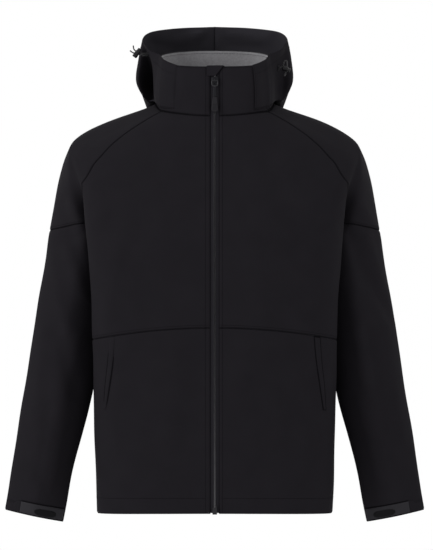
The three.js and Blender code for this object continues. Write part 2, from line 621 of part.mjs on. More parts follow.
// Small pieces are drawn in a frame on the centre front: x across, y up the zip, z outwards.
const zipLine = [...frontLower, ...frontUpper.slice(1), ...collar.slice(1)].map((row) => row[0]);
function zipY(z) {
  const i = Math.max(0, Math.min(zipLine.length - 2, zipLine.findIndex((p) => p.z > z) - 1));
  const [a, b] = [zipLine[i], zipLine[i + 1]];
  return mix(a.y, b.y, (z - a.z) / (b.z - a.z));
}
function zipFrame(z) {
  const up = vec(0, zipY(z + 1) - zipY(z - 1), 2).normalize();
  const out = vec(1, 0, 0).cross(up);
  return new THREE.Matrix4().makeBasis(vec(1, 0, 0), up, out).setPosition(0, zipY(z), z);
}
function plate(corners, thick, lift, holes = []) {
  const shape = new THREE.Shape(corners.map(([x, y]) => new THREE.Vector2(x, y)));
  holes.forEach((hole) => {
    shape.holes.push(new THREE.Path(hole.map(([x, y]) => new THREE.Vector2(x, y))));
  });
  const solid = new THREE.ExtrudeGeometry(shape, { depth: thick, bevelEnabled: false });
  return solid.translate(0, 0, lift);
}
const box = (x, y, z, ...at) => new THREE.BoxGeometry(x, y, z).translate(...at);

// Joins and cuts of closed solids.
function manifoldOf(geometry) {
  const bare = geometry.clone();
  bare.deleteAttribute("normal");
  bare.deleteAttribute("uv");
  const merged = mergeVertices(bare, 1e-4);
  return new wasm.Manifold(new wasm.Mesh({
    numProp: 3,
    vertProperties: new Float32Array(merged.attributes.position.array),
    triVerts: new Uint32Array(merged.index.array),
  }));
}
function geometryFrom(solid) {
  const { vertProperties, triVerts } = solid.getMesh();
  const geometry = new THREE.BufferGeometry();
  geometry.setAttribute("position", new THREE.BufferAttribute(new Float32Array(vertProperties), 3));
  geometry.setIndex(new THREE.BufferAttribute(new Uint32Array(triVerts), 1));
  geometry.computeVertexNormals();
  return geometry;
}
const union = (...parts) =>
  geometryFrom(parts.map(manifoldOf).reduce((whole, part) => whole.add(part)));

// Front zip: a tape beside each front edge, the closed chain, the stop, the slider and the pull.
const tapeLeft = zipLine.map((p) => [vec(TAPE_INNER, p.y, p.z), p]);
const tapes = { zip_tape_left: tapeLeft, zip_tape_right: mirror(tapeLeft) };
Object.entries(tapes).forEach(([name, grid]) => {
  const [normals] = sharedNormals([grid], ["torso"]);
  add(name, wall(grid, normals, TAPE_THICK, -SEAM_GAP), TAPE);
});
const chainRing = (z) => [[-1, CHAIN_PROUD], [1, CHAIN_PROUD], [1, -TAPE_THICK], [-1, -TAPE_THICK]]
  .map(([side, out]) => vec(side * CHAIN_HALF, zipY(z) - out, z));
const chainLevels = [CHAIN_BOTTOM,
  ...zipLine.map((p) => p.z).filter((z) => z > CHAIN_BOTTOM && z < CHAIN_TOP), CHAIN_TOP];
add("zip_chain", loft(chainLevels.map(chainRing)), METAL);

const stopHeight = STOP.top - STOP.bottom;
const stopTopHalf = STOP.half - STOP.taper;
add("zip_stop", plate([[-STOP.half, 0], [STOP.half, 0], [stopTopHalf, stopHeight],
  [-stopTopHalf, stopHeight]], STOP.thick, STOP.lift).applyMatrix4(zipFrame(STOP.bottom)), METAL);

const hingeLift = PLATE.lift + PLATE.thick + BAIL.window / 2;
const bailTop = PLATE.lift + PLATE.thick + BAIL.window + BAIL.bar;
function sliderShape() {
  const { top, bottom, topHalf, bottomHalf, corner, thick, lift } = PLATE;
  const body = plate([[-bottomHalf, bottom], [bottomHalf, bottom], [topHalf, corner],
    [topHalf - corner, top], [corner - topHalf, top], [-topHalf, corner]], thick, lift);
  const legHeight = bailTop - lift - thick + BAIL.sunk;
  const legs = [-1, 1].map((end) => box(2 * BAIL.half, BAIL.leg, legHeight, 0,
    end * (BAIL.reach - BAIL.leg / 2), bailTop - legHeight / 2));
  const bar = box(2 * BAIL.half, 2 * BAIL.reach, BAIL.bar, 0, 0, bailTop - BAIL.bar / 2);
  return union(body, ...legs, bar);
}
add("zip_slider", sliderShape().applyMatrix4(zipFrame(HINGE_Z)), METAL);

function linkShape() {
  const { half, wire, corner, shoulder, drop, neckEnd, neckTop, neckBottom } = LINK;
  const r = wire / 2;
  const outline = [[corner - half, r], [-half, r - corner], [-half, shoulder - drop],
    [-neckTop, -drop], [-neckBottom, -neckEnd], [neckBottom, -neckEnd], [neckTop, -drop],
    [half, shoulder - drop], [half, r - corner], [half - corner, r]];
  const inner = half - wire;
  const foot = shoulder - drop;
  const hole = [[-inner, -r], [inner, -r], [inner, foot + corner], [shoulder, foot],
    [-shoulder, foot], [-inner, foot + corner]];
  return plate(outline, wire, hingeLift - r, [hole]);
}
function pullShape() {
  const { top, bottom, topHalf, bottomHalf, thick } = PULL;
  const turn = steps(8).map((u) => Math.PI * u);
  const end = turn.map((a) =>
    [bottomHalf * Math.cos(a), bottomHalf - bottom - bottomHalf * Math.sin(a)]);
  return plate([[topHalf, -top], ...end, [-topHalf, -top]], thick, hingeLift - thick / 2);
}
add("zip_link", linkShape().applyMatrix4(zipFrame(HINGE_Z)), METAL);
add("zip_pull", pullShape().applyMatrix4(zipFrame(HINGE_Z)), RUBBER);

// Flap that covers the top of the zip.
add("zip_garage", plate([[GARAGE.outer, 0], [GARAGE.lower, 0], [GARAGE.upper, GARAGE.height],
  [GARAGE.outer, GARAGE.height]], GARAGE.thick, GARAGE.lift).applyMatrix4(zipFrame(GARAGE.bottom)),
SHELL);

// Pieces that lie on a panel, given as a function of two shares to a row and column of its grid.
function patch(grid, normals, at, rows, columns, { thick, lift }) {
  const read = (from) => steps(rows).map((u) => steps(columns).map((v) => sample(from, ...at(u, v))));
  const unit = read(normals).map((row) => row.map((n) => n.normalize()));
  return wall(read(grid), unit, thick, lift + thick);
}
function mirrored(geometry) {
  const other = geometry.clone().scale(-1, 1, 1);
  const index = Array.from(other.index.array);
  for (let i = 0; i < index.length; i += 3) {
    [index[i + 1], index[i + 2]] = [index[i + 2], index[i + 1]];
  }
  other.setIndex(index);
  other.computeVertexNormals();
  return other;
}
function addPair(name, geometry, finish) {
  add(`${name}_left`, geometry, finish);
  add(`${name}_right`, mirrored(geometry), finish);
}

const weltAt = track(WELT.map(([row, ...edges]) => [-row, ...edges]));
function weltPlace(u, v) {
  const row = mix(WELT[WELT.length - 1][0], WELT[0][0], u);
  const [front, back] = weltAt(-row);
  const x = mix(front, back, v);
  const along = steps(FRONT_SHARES.length - 1).map((_, c) => sample(frontLower, row, c).x);
  const c = along.findIndex((edge) => edge > x) - 1;
  return [row, c + (x - along[c]) / (along[c + 1] - along[c])];
}
addPair("pocket_welt", patch(frontLower, normalsOf("front_lower_left"), weltPlace, 9, 3,
  { thick: WELT_THICK, lift: WELT_LIFT }), SHELL);

function tabPlace(u, v) {
  const intoEnd = Math.max(0, 1 - (1 - v) / TAB.rounded);
  const rounding = Math.sqrt(1 - (1 - TAB.blunt) * intoEnd * intoEnd);
  const middle = (TAB.low + TAB.high) / 2;
  return [middle + (u - 0.5) * (TAB.high - TAB.low) * rounding, mix(TAB.start, TAB.end, v)];
}
const sleeveNormals = normalsOf("sleeve_lower_left");
addPair("cuff_tab", patch(sleeveLower, sleeveNormals, tabPlace, 2, 12, TAB), SHELL);
function gripPlace(u, v) {
  const bow = Math.max(GRIP.endHeight, Math.sqrt(1 - Math.pow(2 * v - 1, 4)));
  return [GRIP.middle + (2 * u - 1) * GRIP.half * bow, mix(GRIP.start, GRIP.end, v)];
}
addPair("cuff_grip", patch(sleeveLower, sleeveNormals, gripPlace, 2, 10,
  { thick: GRIP.thick, lift: TAB.lift + TAB.thick + GRIP.lift }), RUBBER);

// Hood drawcord: on each side an eyelet, a lock and the strands that pass through them.
const cordCurve = (points) => new THREE.CatmullRomCurve3(points.map((p) => vec(...p)));
const circle = (radius, sides) => steps(sides).slice(1).map((u) =>
  new THREE.Vector2(radius * Math.cos(2 * Math.PI * u), radius * Math.sin(2 * Math.PI * u)));
const cordTube = (curve) =>
  new THREE.ExtrudeGeometry(new THREE.Shape(circle(CORD_RADIUS, CORD_SIDES)),
    { steps: CORD_STEPS, bevelEnabled: false, extrudePath: curve });
function turned(geometry, axis, at) {
  const spin = new THREE.Quaternion().setFromUnitVectors(vec(0, 1, 0), axis.clone().normalize());
  return geometry.applyQuaternion(spin).translate(at.x, at.y, at.z);
}
const lathe = (profile, sides) =>
  new THREE.LatheGeometry(profile.map(([x, y]) => new THREE.Vector2(x, y)), sides);

// Foot of a point on the plane that touches the hood at the nearest point of its grid.
function hoodFoot(point) {
  let best = { gap: Infinity };
  Object.values(hoods).forEach((grid, g) => grid.forEach((row, r) => row.forEach((p, c) => {
    const gap = p.distanceTo(point);
    if (gap < best.gap) best = { gap, p, normal: hoodNormals[g][r][c] };
  })));
  const height = point.clone().sub(best.p).dot(best.normal);
  return { at: point.clone().addScaledVector(best.normal, -height), normal: best.normal };
}
function eyelet(curves) {
  const { outer, inner, thick, chamfer, lift, sides } = EYELET;
  const start = vec(0, 0, 0);
  curves.forEach((curve) => start.addScaledVector(curve.getPoint(0), 1 / curves.length));
  const foot = hoodFoot(start);
  const ring = lathe([[inner, 0], [outer, 0], [outer, thick - chamfer], [outer - chamfer, thick],
    [inner, thick], [inner, 0]], sides);
  return turned(ring, foot.normal, foot.at.clone().addScaledVector(foot.normal, lift));
}
// Closest place on a curve to a point.
const nearestShare = (curve, point) => steps(200).reduce((a, b) =>
  (curve.getPoint(a).distanceTo(point) < curve.getPoint(b).distanceTo(point) ? a : b));
function lock({ at, axis, half, radius }, curves) {
  const barrel = lathe(LOCK_PROFILE.map(([out, along]) => [out * radius, along * half]), LOCK_SIDES);
  let solid = manifoldOf(turned(barrel, vec(...axis), vec(...at)));
  curves.forEach((curve) => {
    const share = nearestShare(curve, vec(...at));
    const bore = new THREE.CylinderGeometry(CORD_RADIUS + LOCK_CLEARANCE,
      CORD_RADIUS + LOCK_CLEARANCE, 4 * radius, BORE_SIDES);
    solid = solid.subtract(manifoldOf(turned(bore, curve.getTangent(share), curve.getPoint(share))));
  });
  return geometryFrom(solid);
}
Object.entries(LOCKS).forEach(([side, body]) => {
  const names = Object.keys(CORDS).filter((name) => name.includes(side));
  const curves = names.map((name) => cordCurve(CORDS[name]));
  add(`eyelet_${side}`, eyelet(curves), METAL);
  add(`cord_lock_${side}`, lock(body, curves), RUBBER);
  names.forEach((name, i) => add(name, cordTube(curves[i]), CORD));
});

export default root;
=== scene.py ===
"""Looks of the softshell jacket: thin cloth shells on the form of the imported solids, and its trims.

Sizes are in millimetres until a mesh is made. The cloth is read from the same tables as the CAD, in
finer steps, so each shell lies on its solid. Left is the wearer's left, which is +X.
"""
import math

import bpy
import numpy as np
from mathutils import Matrix, Vector


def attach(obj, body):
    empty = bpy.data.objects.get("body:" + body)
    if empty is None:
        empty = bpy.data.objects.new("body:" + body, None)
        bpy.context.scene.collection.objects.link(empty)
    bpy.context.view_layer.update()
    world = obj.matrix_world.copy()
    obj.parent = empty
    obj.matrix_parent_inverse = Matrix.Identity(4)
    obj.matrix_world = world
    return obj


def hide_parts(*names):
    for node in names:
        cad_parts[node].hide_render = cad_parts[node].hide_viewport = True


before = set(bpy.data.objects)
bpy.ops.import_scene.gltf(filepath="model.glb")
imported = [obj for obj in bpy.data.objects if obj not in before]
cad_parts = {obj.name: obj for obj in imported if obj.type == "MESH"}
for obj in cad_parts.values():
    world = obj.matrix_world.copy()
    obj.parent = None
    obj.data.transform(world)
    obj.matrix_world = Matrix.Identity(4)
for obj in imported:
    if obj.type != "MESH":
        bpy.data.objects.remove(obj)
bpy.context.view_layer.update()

MM = 0.001
CLOTH = 2.0
LINING = 1.4
SEAM_GAP = 0.1
LINING_GAP = 0.36
ZIP_HALF = 7.5
HEM_Z = -729.0
COLLAR_TOP_FRONT = 65.5
COLLAR_TOP_BACK = 101.0
COLLAR_NARROWING = 0.945
COLLAR_LEAN = 0.84
COLLAR_FORWARD = 3.0
COLLAR_SWELL = 3.0
COLLAR_SWELL_WIDTH = 50.0
NECK_FRONT_Y = -88.0
NECK_BACK_Y = 84.0
FOLD_SHARE = 0.7
SKIRT_ROWS = 5
SLEEVE_ROWS = 10
SLEEVE_COLUMNS = 16
LEFT_TO_RIGHT = Matrix.Diagonal((-1, 1, 1, 1))

# Columns: height, centre front depth, x and y of the fold, the hollow, the side and the blade,
# and the centre back depth.
TORSO = [
    [-742, 121, 208, -60, 211, -28, 209, 6, 176, 82, 117],
    [-620, 123, 211, -60, 214, -28, 211, 6, 178, 82, 113],
    [-520, 126, 215, -62, 215, -28, 208, 10, 178, 82, 110],
    [-425, 130, 218, -66, 208, -32, 197, 14, 176, 84, 111],
    [-351, 134, 220, -70, 200, -38, 185, 16, 172, 86, 116],
    [-279, 137, 225, -74, 198, -42, 173, 20, 166, 90, 122],
    [-235, 138, 229, -75, 196, -42, 167, 24, 160, 92, 126],
]
ARMHOLE_ROW = np.array([-235.0, -235, -235, -235])
WAIST_ROW = np.array([-400.0, -421, -427, -430])
HEM_ROW = np.array([HEM_Z, HEM_Z - 2, HEM_Z - 3, HEM_Z - 6])

# Lines over the yoke from the armhole ring to the neck ring. Columns: x, y, z at each station.
YOKE_STATIONS = [0, 0.15, 0.3, 0.45, 0.6, 0.8, 1]
CENTRE_FRONT = [[0, -138, -235], [0, -134, -203], [0, -129, -171], [0, -123, -140],
                [0, -115, -108], [0, -103, -65], [0, -88, -23]]
FRONT_FOLD = [[229, -75, -235], [231, -80, -203], [233, -82, -171], [237, -76, -139],
              [243, -58, -100], [196, -48, -58], [95, -52, -13]]
FRONT_HOLLOW = [[196, -42, -235], [221, -52, -202], [233, -67, -167], [242, -67, -134],
                [249, -47, -94], [197, -40, -53], [97.5, -44, -11]]
FRONT_VALLEY = [[167, 24, -235], [205, -16, -201], [231, -52, -163], [246, -58, -129],
                [253, -36, -88], [197, -32, -48], [100, -36, -9]]
ARM_FRONT = [[234, -40, -238], [251, -41, -190], [260, -43, -148], [262, -40, -112],
             [256, -14, -73], [195, -12, -36], [103.5, -16, -4]]
RIDGE = [[300, 25, -240], [289, 22, -180], [279, 19, -128], [267, 16, -90],
         [247, 13, -60], [190, 10, -29], [105.5, 8, 0]]
ARM_BACK = [[234, 90, -238], [252, 84, -190], [260, 76, -148], [256, 64, -112],
            [247, 44, -75], [194, 34, -37], [104, 28, 4]]
BACK_VALLEY = [[167, 24, -235], [192, 62, -200], [212, 82, -160], [222, 84, -126],
               [232, 70, -95], [188, 58, -46], [98.5, 44, 7]]
BLADE = [[160, 92, -235], [175, 101, -199], [185, 105, -162], [188, 105, -128],
         [184, 99, -94], [148, 86, -42], [82, 62, 11]]
CENTRE_BACK = [[0, 126, -235], [0, 128, -198], [0, 127, -160], [0, 124, -122],
               [0, 117, -82], [0, 104, -30], [0, 84, 18]]
# Columns: station, place of the fold, of the seam in front and of the seam behind, reach of the
# front's bulge.
RAGLAN = [[0, 1, 3, 7, 0.99], [0.13, 1, 2.56, 7.22, 0.99], [0.3, 1, 1.56, 7.6, 0.98],
          [0.4, 0.94, 1.13, 7.77, 0.96], [0.45, 0.9, 0.985, 7.85, 0.94],
          [0.6, 0.72, 0.862, 8, 0.86], [0.73, 0.685, 0.844, 8, 0.82],
          [0.86, 0.685, 0.875, 8, 0.82], [1, 0.75, 1, 8, 0.88]]
SLEEVE_SEAM_EDGE = 0.13
SLEEVE_SEAM_RIDGE = 0.035
SLEEVE_SEAM_CURVE = 1.5
# Columns: share of the way to the cuff, x and z of the outer line and of the inner seam, y of the
# middle, half depth.
SLEEVE = [
    [0, 300, -240, 167, -235, 25, 65],
    [0.08, 306, -281, 179, -275, 25, 63],
    [0.22, 318, -351, 192, -347, 24, 60],
    [0.38, 331, -432, 206, -432, 20, 57],
    [0.52, 341, -500, 217, -510, 15, 53],
    [0.68, 354, -579, 238, -592, 9, 47],
    [0.82, 364, -647, 256, -662, 3, 41],
    [0.92, 371, -694, 265, -714, -2, 36],
    [1, 377, -727, 272, -749, -5, 31],
]
FRONT_BULGE = (2.8, 0.99)
BACK_BULGE = (2.3, 0.84)
LEAD = 0.93
SIDE_PLACE = 3
ARM_FRONT_PLACE = 4
ARM_BACK_PLACE = 6
BACK_PLACE = 9

# Hood, a point for each place round its half. Lines: inner, low, belly, upper, rim.
HOOD_ROUND = [0.31, 0.4, 0.49, 0.6, 0.74, 0.87, 1]
HOOD_LINES = [
    [[108, -8, 9], [113, 10, 9], [118, 26, 6], [117, 50, 4], [96, 84, 0], [54, 108, -30],
     [0, 113, -42]],
    [[109, -7, 14], [118, 12, 14], [127, 27, 13], [125, 56, 11], [106, 112, -42], [60, 140, -92],
     [0, 150, -108]],
    [[110, -4, 36], [124, 13, 38], [138, 28, 40], [140, 64, 42], [122, 124, 26], [70, 170, 0],
     [0, 186, -6]],
    [[112, -3, 72], [125, 12, 77], [136, 29, 82], [136, 66, 86], [118, 120, 89], [68, 162, 88],
     [0, 180, 88]],
    [[119, -7, 98], [127, 9, 108], [131, 26, 117], [127, 62, 129], [108, 104, 139], [62, 143, 146],
     [0, 158, 149]],
]
# The first three points of those lines where the bend beside the collar falls in as a hollow.
HOLLOWS = [
    [[108, -8, 9], [112, 16, 8], [118, 28, 6]],
    [[109, -8, 14], [111, 40, 13], [127, 19, 13]],
    [[110, -5, 36], [108, 68, 38], [137, 18, 38]],
    [[112, -5, 70], [114, 36, 75], [135, 21, 80]],
]
HOLLOW_SHARE = {"left": 0.2, "right": 1.0}
HOOD_ON_COLLAR = [0, 0.12, 0.24]
HOOD_FRONT_X = 70.0
HOOD_LIFT = CLOTH + 1.6
HOOD_SEAM_RISE = 0.045
HOOD_RIM_RISE = 0.5
HOOD_TILT = 0.75
TILT_HEIGHT = 0.33

# Trims
CHAIN_HALF = 2.3
CHAIN_BOTTOM = -715.0
CHAIN_TOP = 61.0
TOOTH_PITCH = 3.8
TOOTH_HALF = 0.8
TOOTH_FOOT = -0.3
# Columns: x and height of the outline of a tooth, seen along the zip.
TOOTH = [(-CHAIN_HALF, -1.1), (-CHAIN_HALF, 0.25), (-1.7, 0.62), (-0.1, 0.62), (0.1, 0.3),
         (0.1, -1.1)]
TAPE_INNER = 1.2
TAPE_OUTER = ZIP_HALF + 3
TAPE_THICK = 0.6
TAPE_SHORT = 1.5
STOP_BOTTOM = -730.0
HINGE_Z = 39.0
HINGE_LIFT = 4.6
PULL_HALF = 6
PULL_TIP = -51
GARAGE_Z = 48.0
GARAGE_THICK = 1.5
WELT = [[4.96, 177, 186], [4.3, 181, 189], [3.65, 187, 193.5], [2.97, 193.5, 197]]
TAB = {"low": 0.06, "high": 0.52, "start": 0.5, "end": 6.5, "thick": 1.4, "lift": 0.6}
# Share of the tab in its lighter cloth; the end past it is in the darker shell cloth: painted shade.
TAB_LIT = 0.86
BAR_SHARE = 0.815
GRIP = {"middle": 0.23, "half": 0.14, "start": 1.5, "end": 4.0, "thick": 1.2}
CORD_RADIUS = 1.2
# Distance between the rings of a tube, by its radius, and a way that no tube follows.
RING_STEP = 0.6
ASIDE = np.array([0.13, 0.9, 0.42])
CORDS = {
    "hood_cord_right_1": [[-121.1, 11.9, 92.5], [-130, 8.1, 92.7], [-134.5, 4.8, 93.6],
                          [-139.5, 1.2, 95], [-143.4, -1.8, 97.3], [-145.6, -3.8, 100.6],
                          [-146.4, -5.6, 106]],
    "hood_cord_right_2": [[-121.3, 12, 89.6], [-130, 8.1, 89.2], [-134.5, 4.8, 90],
                          [-139.5, 1.2, 91.5], [-143.8, -1.8, 92.4], [-147.6, -4.6, 93.6],
                          [-152, -8, 96.6]],
    "hood_cord_left": [[115.8, 4.4, 66], [118.6, 2.6, 66.6], [121.6, 0.4, 69.6], [124, -2, 74],
                       [126.2, -4.2, 78.6], [129, -5.6, 78.2], [129.8, -6, 72],
                       [128.5, -6, 63.5], [127, -6, 56.5], [125, -6.4, 51.5]],
}
LOCK_GROOVES = 3
LOCKS = {
    "right": {"at": (-139.5, 1, 93.3), "axis": (0.573, 0, 0.82), "half": 9.5, "radius": 4.6},
    "left": {"at": (128.5, -6, 63.5), "axis": (0.94, 0, -0.34), "half": 7.5, "radius": 4.8},
}

# Fineness of the cloth meshes
ROW_STEP = 5.0
LEAST_STEP = 0.25
TURN_STEP = 1.0
SMALL_SHARE = 0.02
EDGE_STEPS = np.array([0, 0.35, 0.9, 1.7, 2.8, 4.2])
EDGE_ROLL = 1.9
PATCH_ROLL = 1.1
SEAM_SINK = 1.3
# Rows of cells beside a seam drawn almost black, as painted shade.
SEAM_CELLS = 2
INNER_ROLL = 0.3
HOOD_GROOVE = 1.1
HOOD_MELT = 2.2
HOOD_MELT_WIDTH = 26.0
ARC_STEPS = 60
SPAN_STEPS = 30
HOOD_STEPS = 24
TURNED_SIDES = 28
CORNER_STEPS = 5
# Lengths of the panels along their rows of points, in mm.
SKIRT_LENGTH = 316
CHEST_LENGTH = 190
ARMPIT_LENGTH = 36
YOKE_LENGTH = 215
TUBE_LENGTH = 500
COLLAR_LENGTH = 88
HOOD_LENGTH = 420
HOOD_WIDTH = 190

# View and light, in metres
LENS = 293.6
CAMERA_PLACE = (0.0031, -8.06, -0.306)
FLOOR_Z = -1250    # in mm
LIT_POINT = (0, 0, -0.3)
# Columns: name, place, size and power.
LIGHTS = [("key", (-3.4, -1.7, 1.2), 1.4, 75), ("fill", (3.2, -1.4, 0.5), 1.6, 10)]


def mix(a, b, u):
    return a + (b - a) * u


def unit(v):
    return v / np.maximum(np.linalg.norm(v, axis=-1, keepdims=True), 1e-9)


def smooth(u):
    u = np.clip(u, 0, 1)
    return u * u * (3 - 2 * u)


def track(rows):
    """Smooth reading of a table between its rows, by the first column."""
    table = np.array(rows, float)
    at, values = table[:, 0], table[:, 1:]
    last = len(table) - 1
    low = np.maximum(np.arange(last + 1) - 1, 0)
    high = np.minimum(np.arange(last + 1) + 1, last)
    slopes = (values[high] - values[low]) / (at[high] - at[low])[:, None]

    def read(station):
        i = int(np.clip(np.searchsorted(at, station) - 1, 0, last - 1))
        h = at[i + 1] - at[i]
        u = min(1.0, max(0.0, (station - at[i]) / h))
        u2, u3 = u * u, u * u * u
        return ((2 * u3 - 3 * u2 + 1) * values[i] + (u3 - 2 * u2 + u) * h * slopes[i]
                + (3 * u2 - 2 * u3) * values[i + 1] + (u3 - u2) * h * slopes[i + 1])
    return read


def spline(points, per_span, closed=False):
    """Centripetal Catmull-Rom curve through points."""
    p = np.array(points, float)
    if closed:
        p = np.vstack([p[-1], p, p[0], p[1]])
    else:
        p = np.vstack([2 * p[0] - p[1], p, 2 * p[-1] - p[-2]])
    spans = len(p) - 3
    x0, x1, x2, x3 = (p[k:k + spans] for k in range(4))
    d0, d1, d2 = (np.sqrt(np.linalg.norm(b - a, axis=1))[:, None]
                  for a, b in ((x0, x1), (x1, x2), (x2, x3)))
    t1 = ((x1 - x0) / d0 - (x2 - x0) / (d0 + d1) + (x2 - x1) / d1) * d1
    t2 = ((x2 - x1) / d1 - (x3 - x1) / (d1 + d2) + (x3 - x2) / d2) * d1
    u = (np.arange(per_span) / per_span)[:, None, None]
    curve = (x1 + t1 * u + (3 * (x2 - x1) - 2 * t1 - t2) * u ** 2
             + (2 * (x1 - x2) + t1 + t2) * u ** 3)
    return np.vstack([curve.transpose(1, 0, 2).reshape(-1, 3), x2[-1]])


class Line:
    """Points along a curve, read by length, with a place number for each point."""

    def __init__(self, points, places=None):
        self.points = np.array(points, float)
        self.places = places
        steps = np.linalg.norm(np.diff(self.points, axis=0), axis=1)
        self.lengths = np.concatenate([[0], np.cumsum(steps)])
        self.length = self.lengths[-1]

    def at(self, lengths):
        return np.stack([np.interp(lengths, self.lengths, self.points[:, k]) for k in range(3)],
                        axis=-1)

    def length_at(self, places):
        return np.interp(places, self.places, self.lengths)


def arc(centre, fold, bulge, share):
    """Stretch of a superellipse from a centre line point to a fold, at shares of the fold's x."""
    power, reach = bulge
    share = np.atleast_1d(share)
    height = lambda x: np.maximum(0, 1 - x ** power) ** (1 / power)
    end = float(height(np.float64(reach)))
    foot = (fold[1] - centre[1] * end) / (1 - end)
    return np.stack([fold[0] * share, mix(foot, centre[1], height(reach * share)),
                     mix(centre[2], fold[2], share ** 2)], axis=-1)


def section(front, keys, back, front_bulge=FRONT_BULGE):
    """Left half of a ring round the body, from the centre front through keys to the back."""
    quarter = np.arange(ARC_STEPS + 1) / ARC_STEPS * math.pi / 2
    ahead = np.sin(quarter[:-1]) ** (2 / front_bulge[0])
    behind = np.sin(quarter[::-1]) ** (2 / BACK_BULGE[0])
    through = spline([arc(front, keys[0], front_bulge, LEAD)[0], *keys,
                      arc(back, keys[-1], BACK_BULGE, LEAD)[0]], SPAN_STEPS)
    middle = through[SPAN_STEPS:SPAN_STEPS * len(keys)]
    points = np.vstack([arc(front, keys[0], front_bulge, ahead), middle,
                        arc(back, keys[-1], BACK_BULGE, behind)])
    places = np.concatenate([ahead, 1 + np.arange(len(middle)) / SPAN_STEPS,
                             len(keys) + 1 - behind])
    line = Line(points, places)
    line.zip = line.length_at(ZIP_HALF / keys[0][0])
    return line


torso_at = track(TORSO)


def torso_section(heights):
    front, fold, side, back = (torso_at(z) for z in heights)
    z_front, z_fold, z_side, z_back = heights
    keys = [(fold[1], fold[2], z_fold), (fold[3], fold[4], z_fold), (side[5], side[6], z_side),
            (back[7], back[8], z_back)]
    return section((0, -front[0], z_front), keys, (0, back[9], z_back))


yoke_lines = [track([[t, *p] for t, p in zip(YOKE_STATIONS, line)])
              for line in (CENTRE_FRONT, FRONT_FOLD, FRONT_HOLLOW, FRONT_VALLEY, ARM_FRONT, RIDGE,
                           ARM_BACK, BACK_VALLEY, BLADE, CENTRE_BACK)]
raglan_at = track(RAGLAN)
sleeve_at = track(SLEEVE)


def yoke_section(t):
    points = [line(t) for line in yoke_lines]
    return section(points[0], points[1:-1], points[-1], (FRONT_BULGE[0], raglan_at(t)[-1]))


def sleeve_ring(w):
    x_out, z_out, x_in, z_in, y_mid, depth = sleeve_at(w)
    x_mid, z_mid = (x_out + x_in) / 2, (z_out + z_in) / 2
    return Line(spline([(x_in, y_mid, z_in), (x_mid, y_mid - depth, z_mid), (x_out, y_mid, z_out),
                        (x_mid, y_mid + depth, z_mid)], SPAN_STEPS, closed=True))


def sleeve_seam(c):
    """Station of the seam across the upper arm, at a share of the way round it."""
    return mix(SLEEVE_SEAM_RIDGE, SLEEVE_SEAM_EDGE, np.abs(2 * c - 1) ** SLEEVE_SEAM_CURVE)


def shares(length, low_edge, high_edge):
    """Shares of the way along a panel, in even steps, with fine ones beside its seams."""
    parts = [np.linspace(0, 1, int(length / ROW_STEP) + 1)]
    if low_edge:
        parts.append(EDGE_STEPS / length)
    if high_edge:
        parts.append(1 - EDGE_STEPS / length)
    values = np.sort(np.concatenate(parts))
    return values[np.concatenate([[True], np.diff(values) > LEAST_STEP / length])]


def across(line, marks, mark_shares, inner):
    """Points across a panel, from its first mark to its last, with fine steps at both seams."""
    within = np.interp(inner, mark_shares, marks)
    return line.at(np.sort(np.concatenate([marks[0] + EDGE_STEPS, within,
                                           marks[-1] - EDGE_STEPS])))


FRONT_INNER = np.linspace(0.022, 0.978, 46)
BACK_INNER = np.linspace(0.028, 1, 36)
SLEEVE_INNER = np.linspace(0.016, 0.984, 74)


def front_row(line, fold, seam):
    marks = [line.zip, *line.length_at([fold, seam])]
    return across(line, marks, [0, FOLD_SHARE, 1], FRONT_INNER)


def back_row(line, start, end):
    marks = line.length_at([start, end])
    within = np.interp(BACK_INNER, [0, 1], marks)
    return line.at(np.sort(np.concatenate([marks[0] + EDGE_STEPS, within])))


def cap_row(line, front, back):
    marks = line.length_at([front, ARM_FRONT_PLACE, ARM_BACK_PLACE, back])
    return across(line, marks, [0, 0.25, 0.75, 1], SLEEVE_INNER)


# Grids of points: rows upwards, columns from the centre front round to the back.
skirt_shares = shares(SKIRT_LENGTH, True, True)
chest_shares = shares(CHEST_LENGTH, True, False)
armpit_shares = shares(ARMPIT_LENGTH, False, True)
yoke_shares = shares(YOKE_LENGTH, True, True)
stations = np.concatenate([armpit_shares * SLEEVE_SEAM_EDGE,
                           mix(SLEEVE_SEAM_EDGE, 1, yoke_shares[1:])])
skirt = [torso_section(mix(HEM_ROW, WAIST_ROW, u)) for u in skirt_shares]
chest = [torso_section(mix(WAIST_ROW, ARMHOLE_ROW, u)) for u in chest_shares]
yoke = [(yoke_section(t), *raglan_at(t)[:3]) for t in stations]

front_lower = np.array([front_row(s, 1, SIDE_PLACE) for s in skirt])
front_upper = np.array([front_row(s, 1, SIDE_PLACE) for s in chest]
                       + [front_row(s, fold, seam) for s, fold, seam, _ in yoke[1:]])
back_half = np.array([back_row(s, SIDE_PLACE, SIDE_PLACE + 2) for s in skirt[:-1] + chest]
                     + [back_row(s, seam, BACK_PLACE) for s, _, _, seam in yoke[1:]])
cap = np.array([cap_row(s, front, back) for s, _, front, back in yoke])

seam_row = cap[len(armpit_shares) - 1]
row_lengths = Line(seam_row).lengths
cap_shares = row_lengths / row_lengths[-1]


def from_cap(shares_of_way, low, high):
    """Rows of the cap between two seams, each a station that depends on the column."""
    rows = np.empty((len(shares_of_way), cap.shape[1], 3))
    for j in range(cap.shape[1]):
        wanted = mix(low[j], high[j], shares_of_way)
        for k in range(3):
            rows[:, j, k] = np.interp(wanted, stations, cap[:, j, k])
    return rows


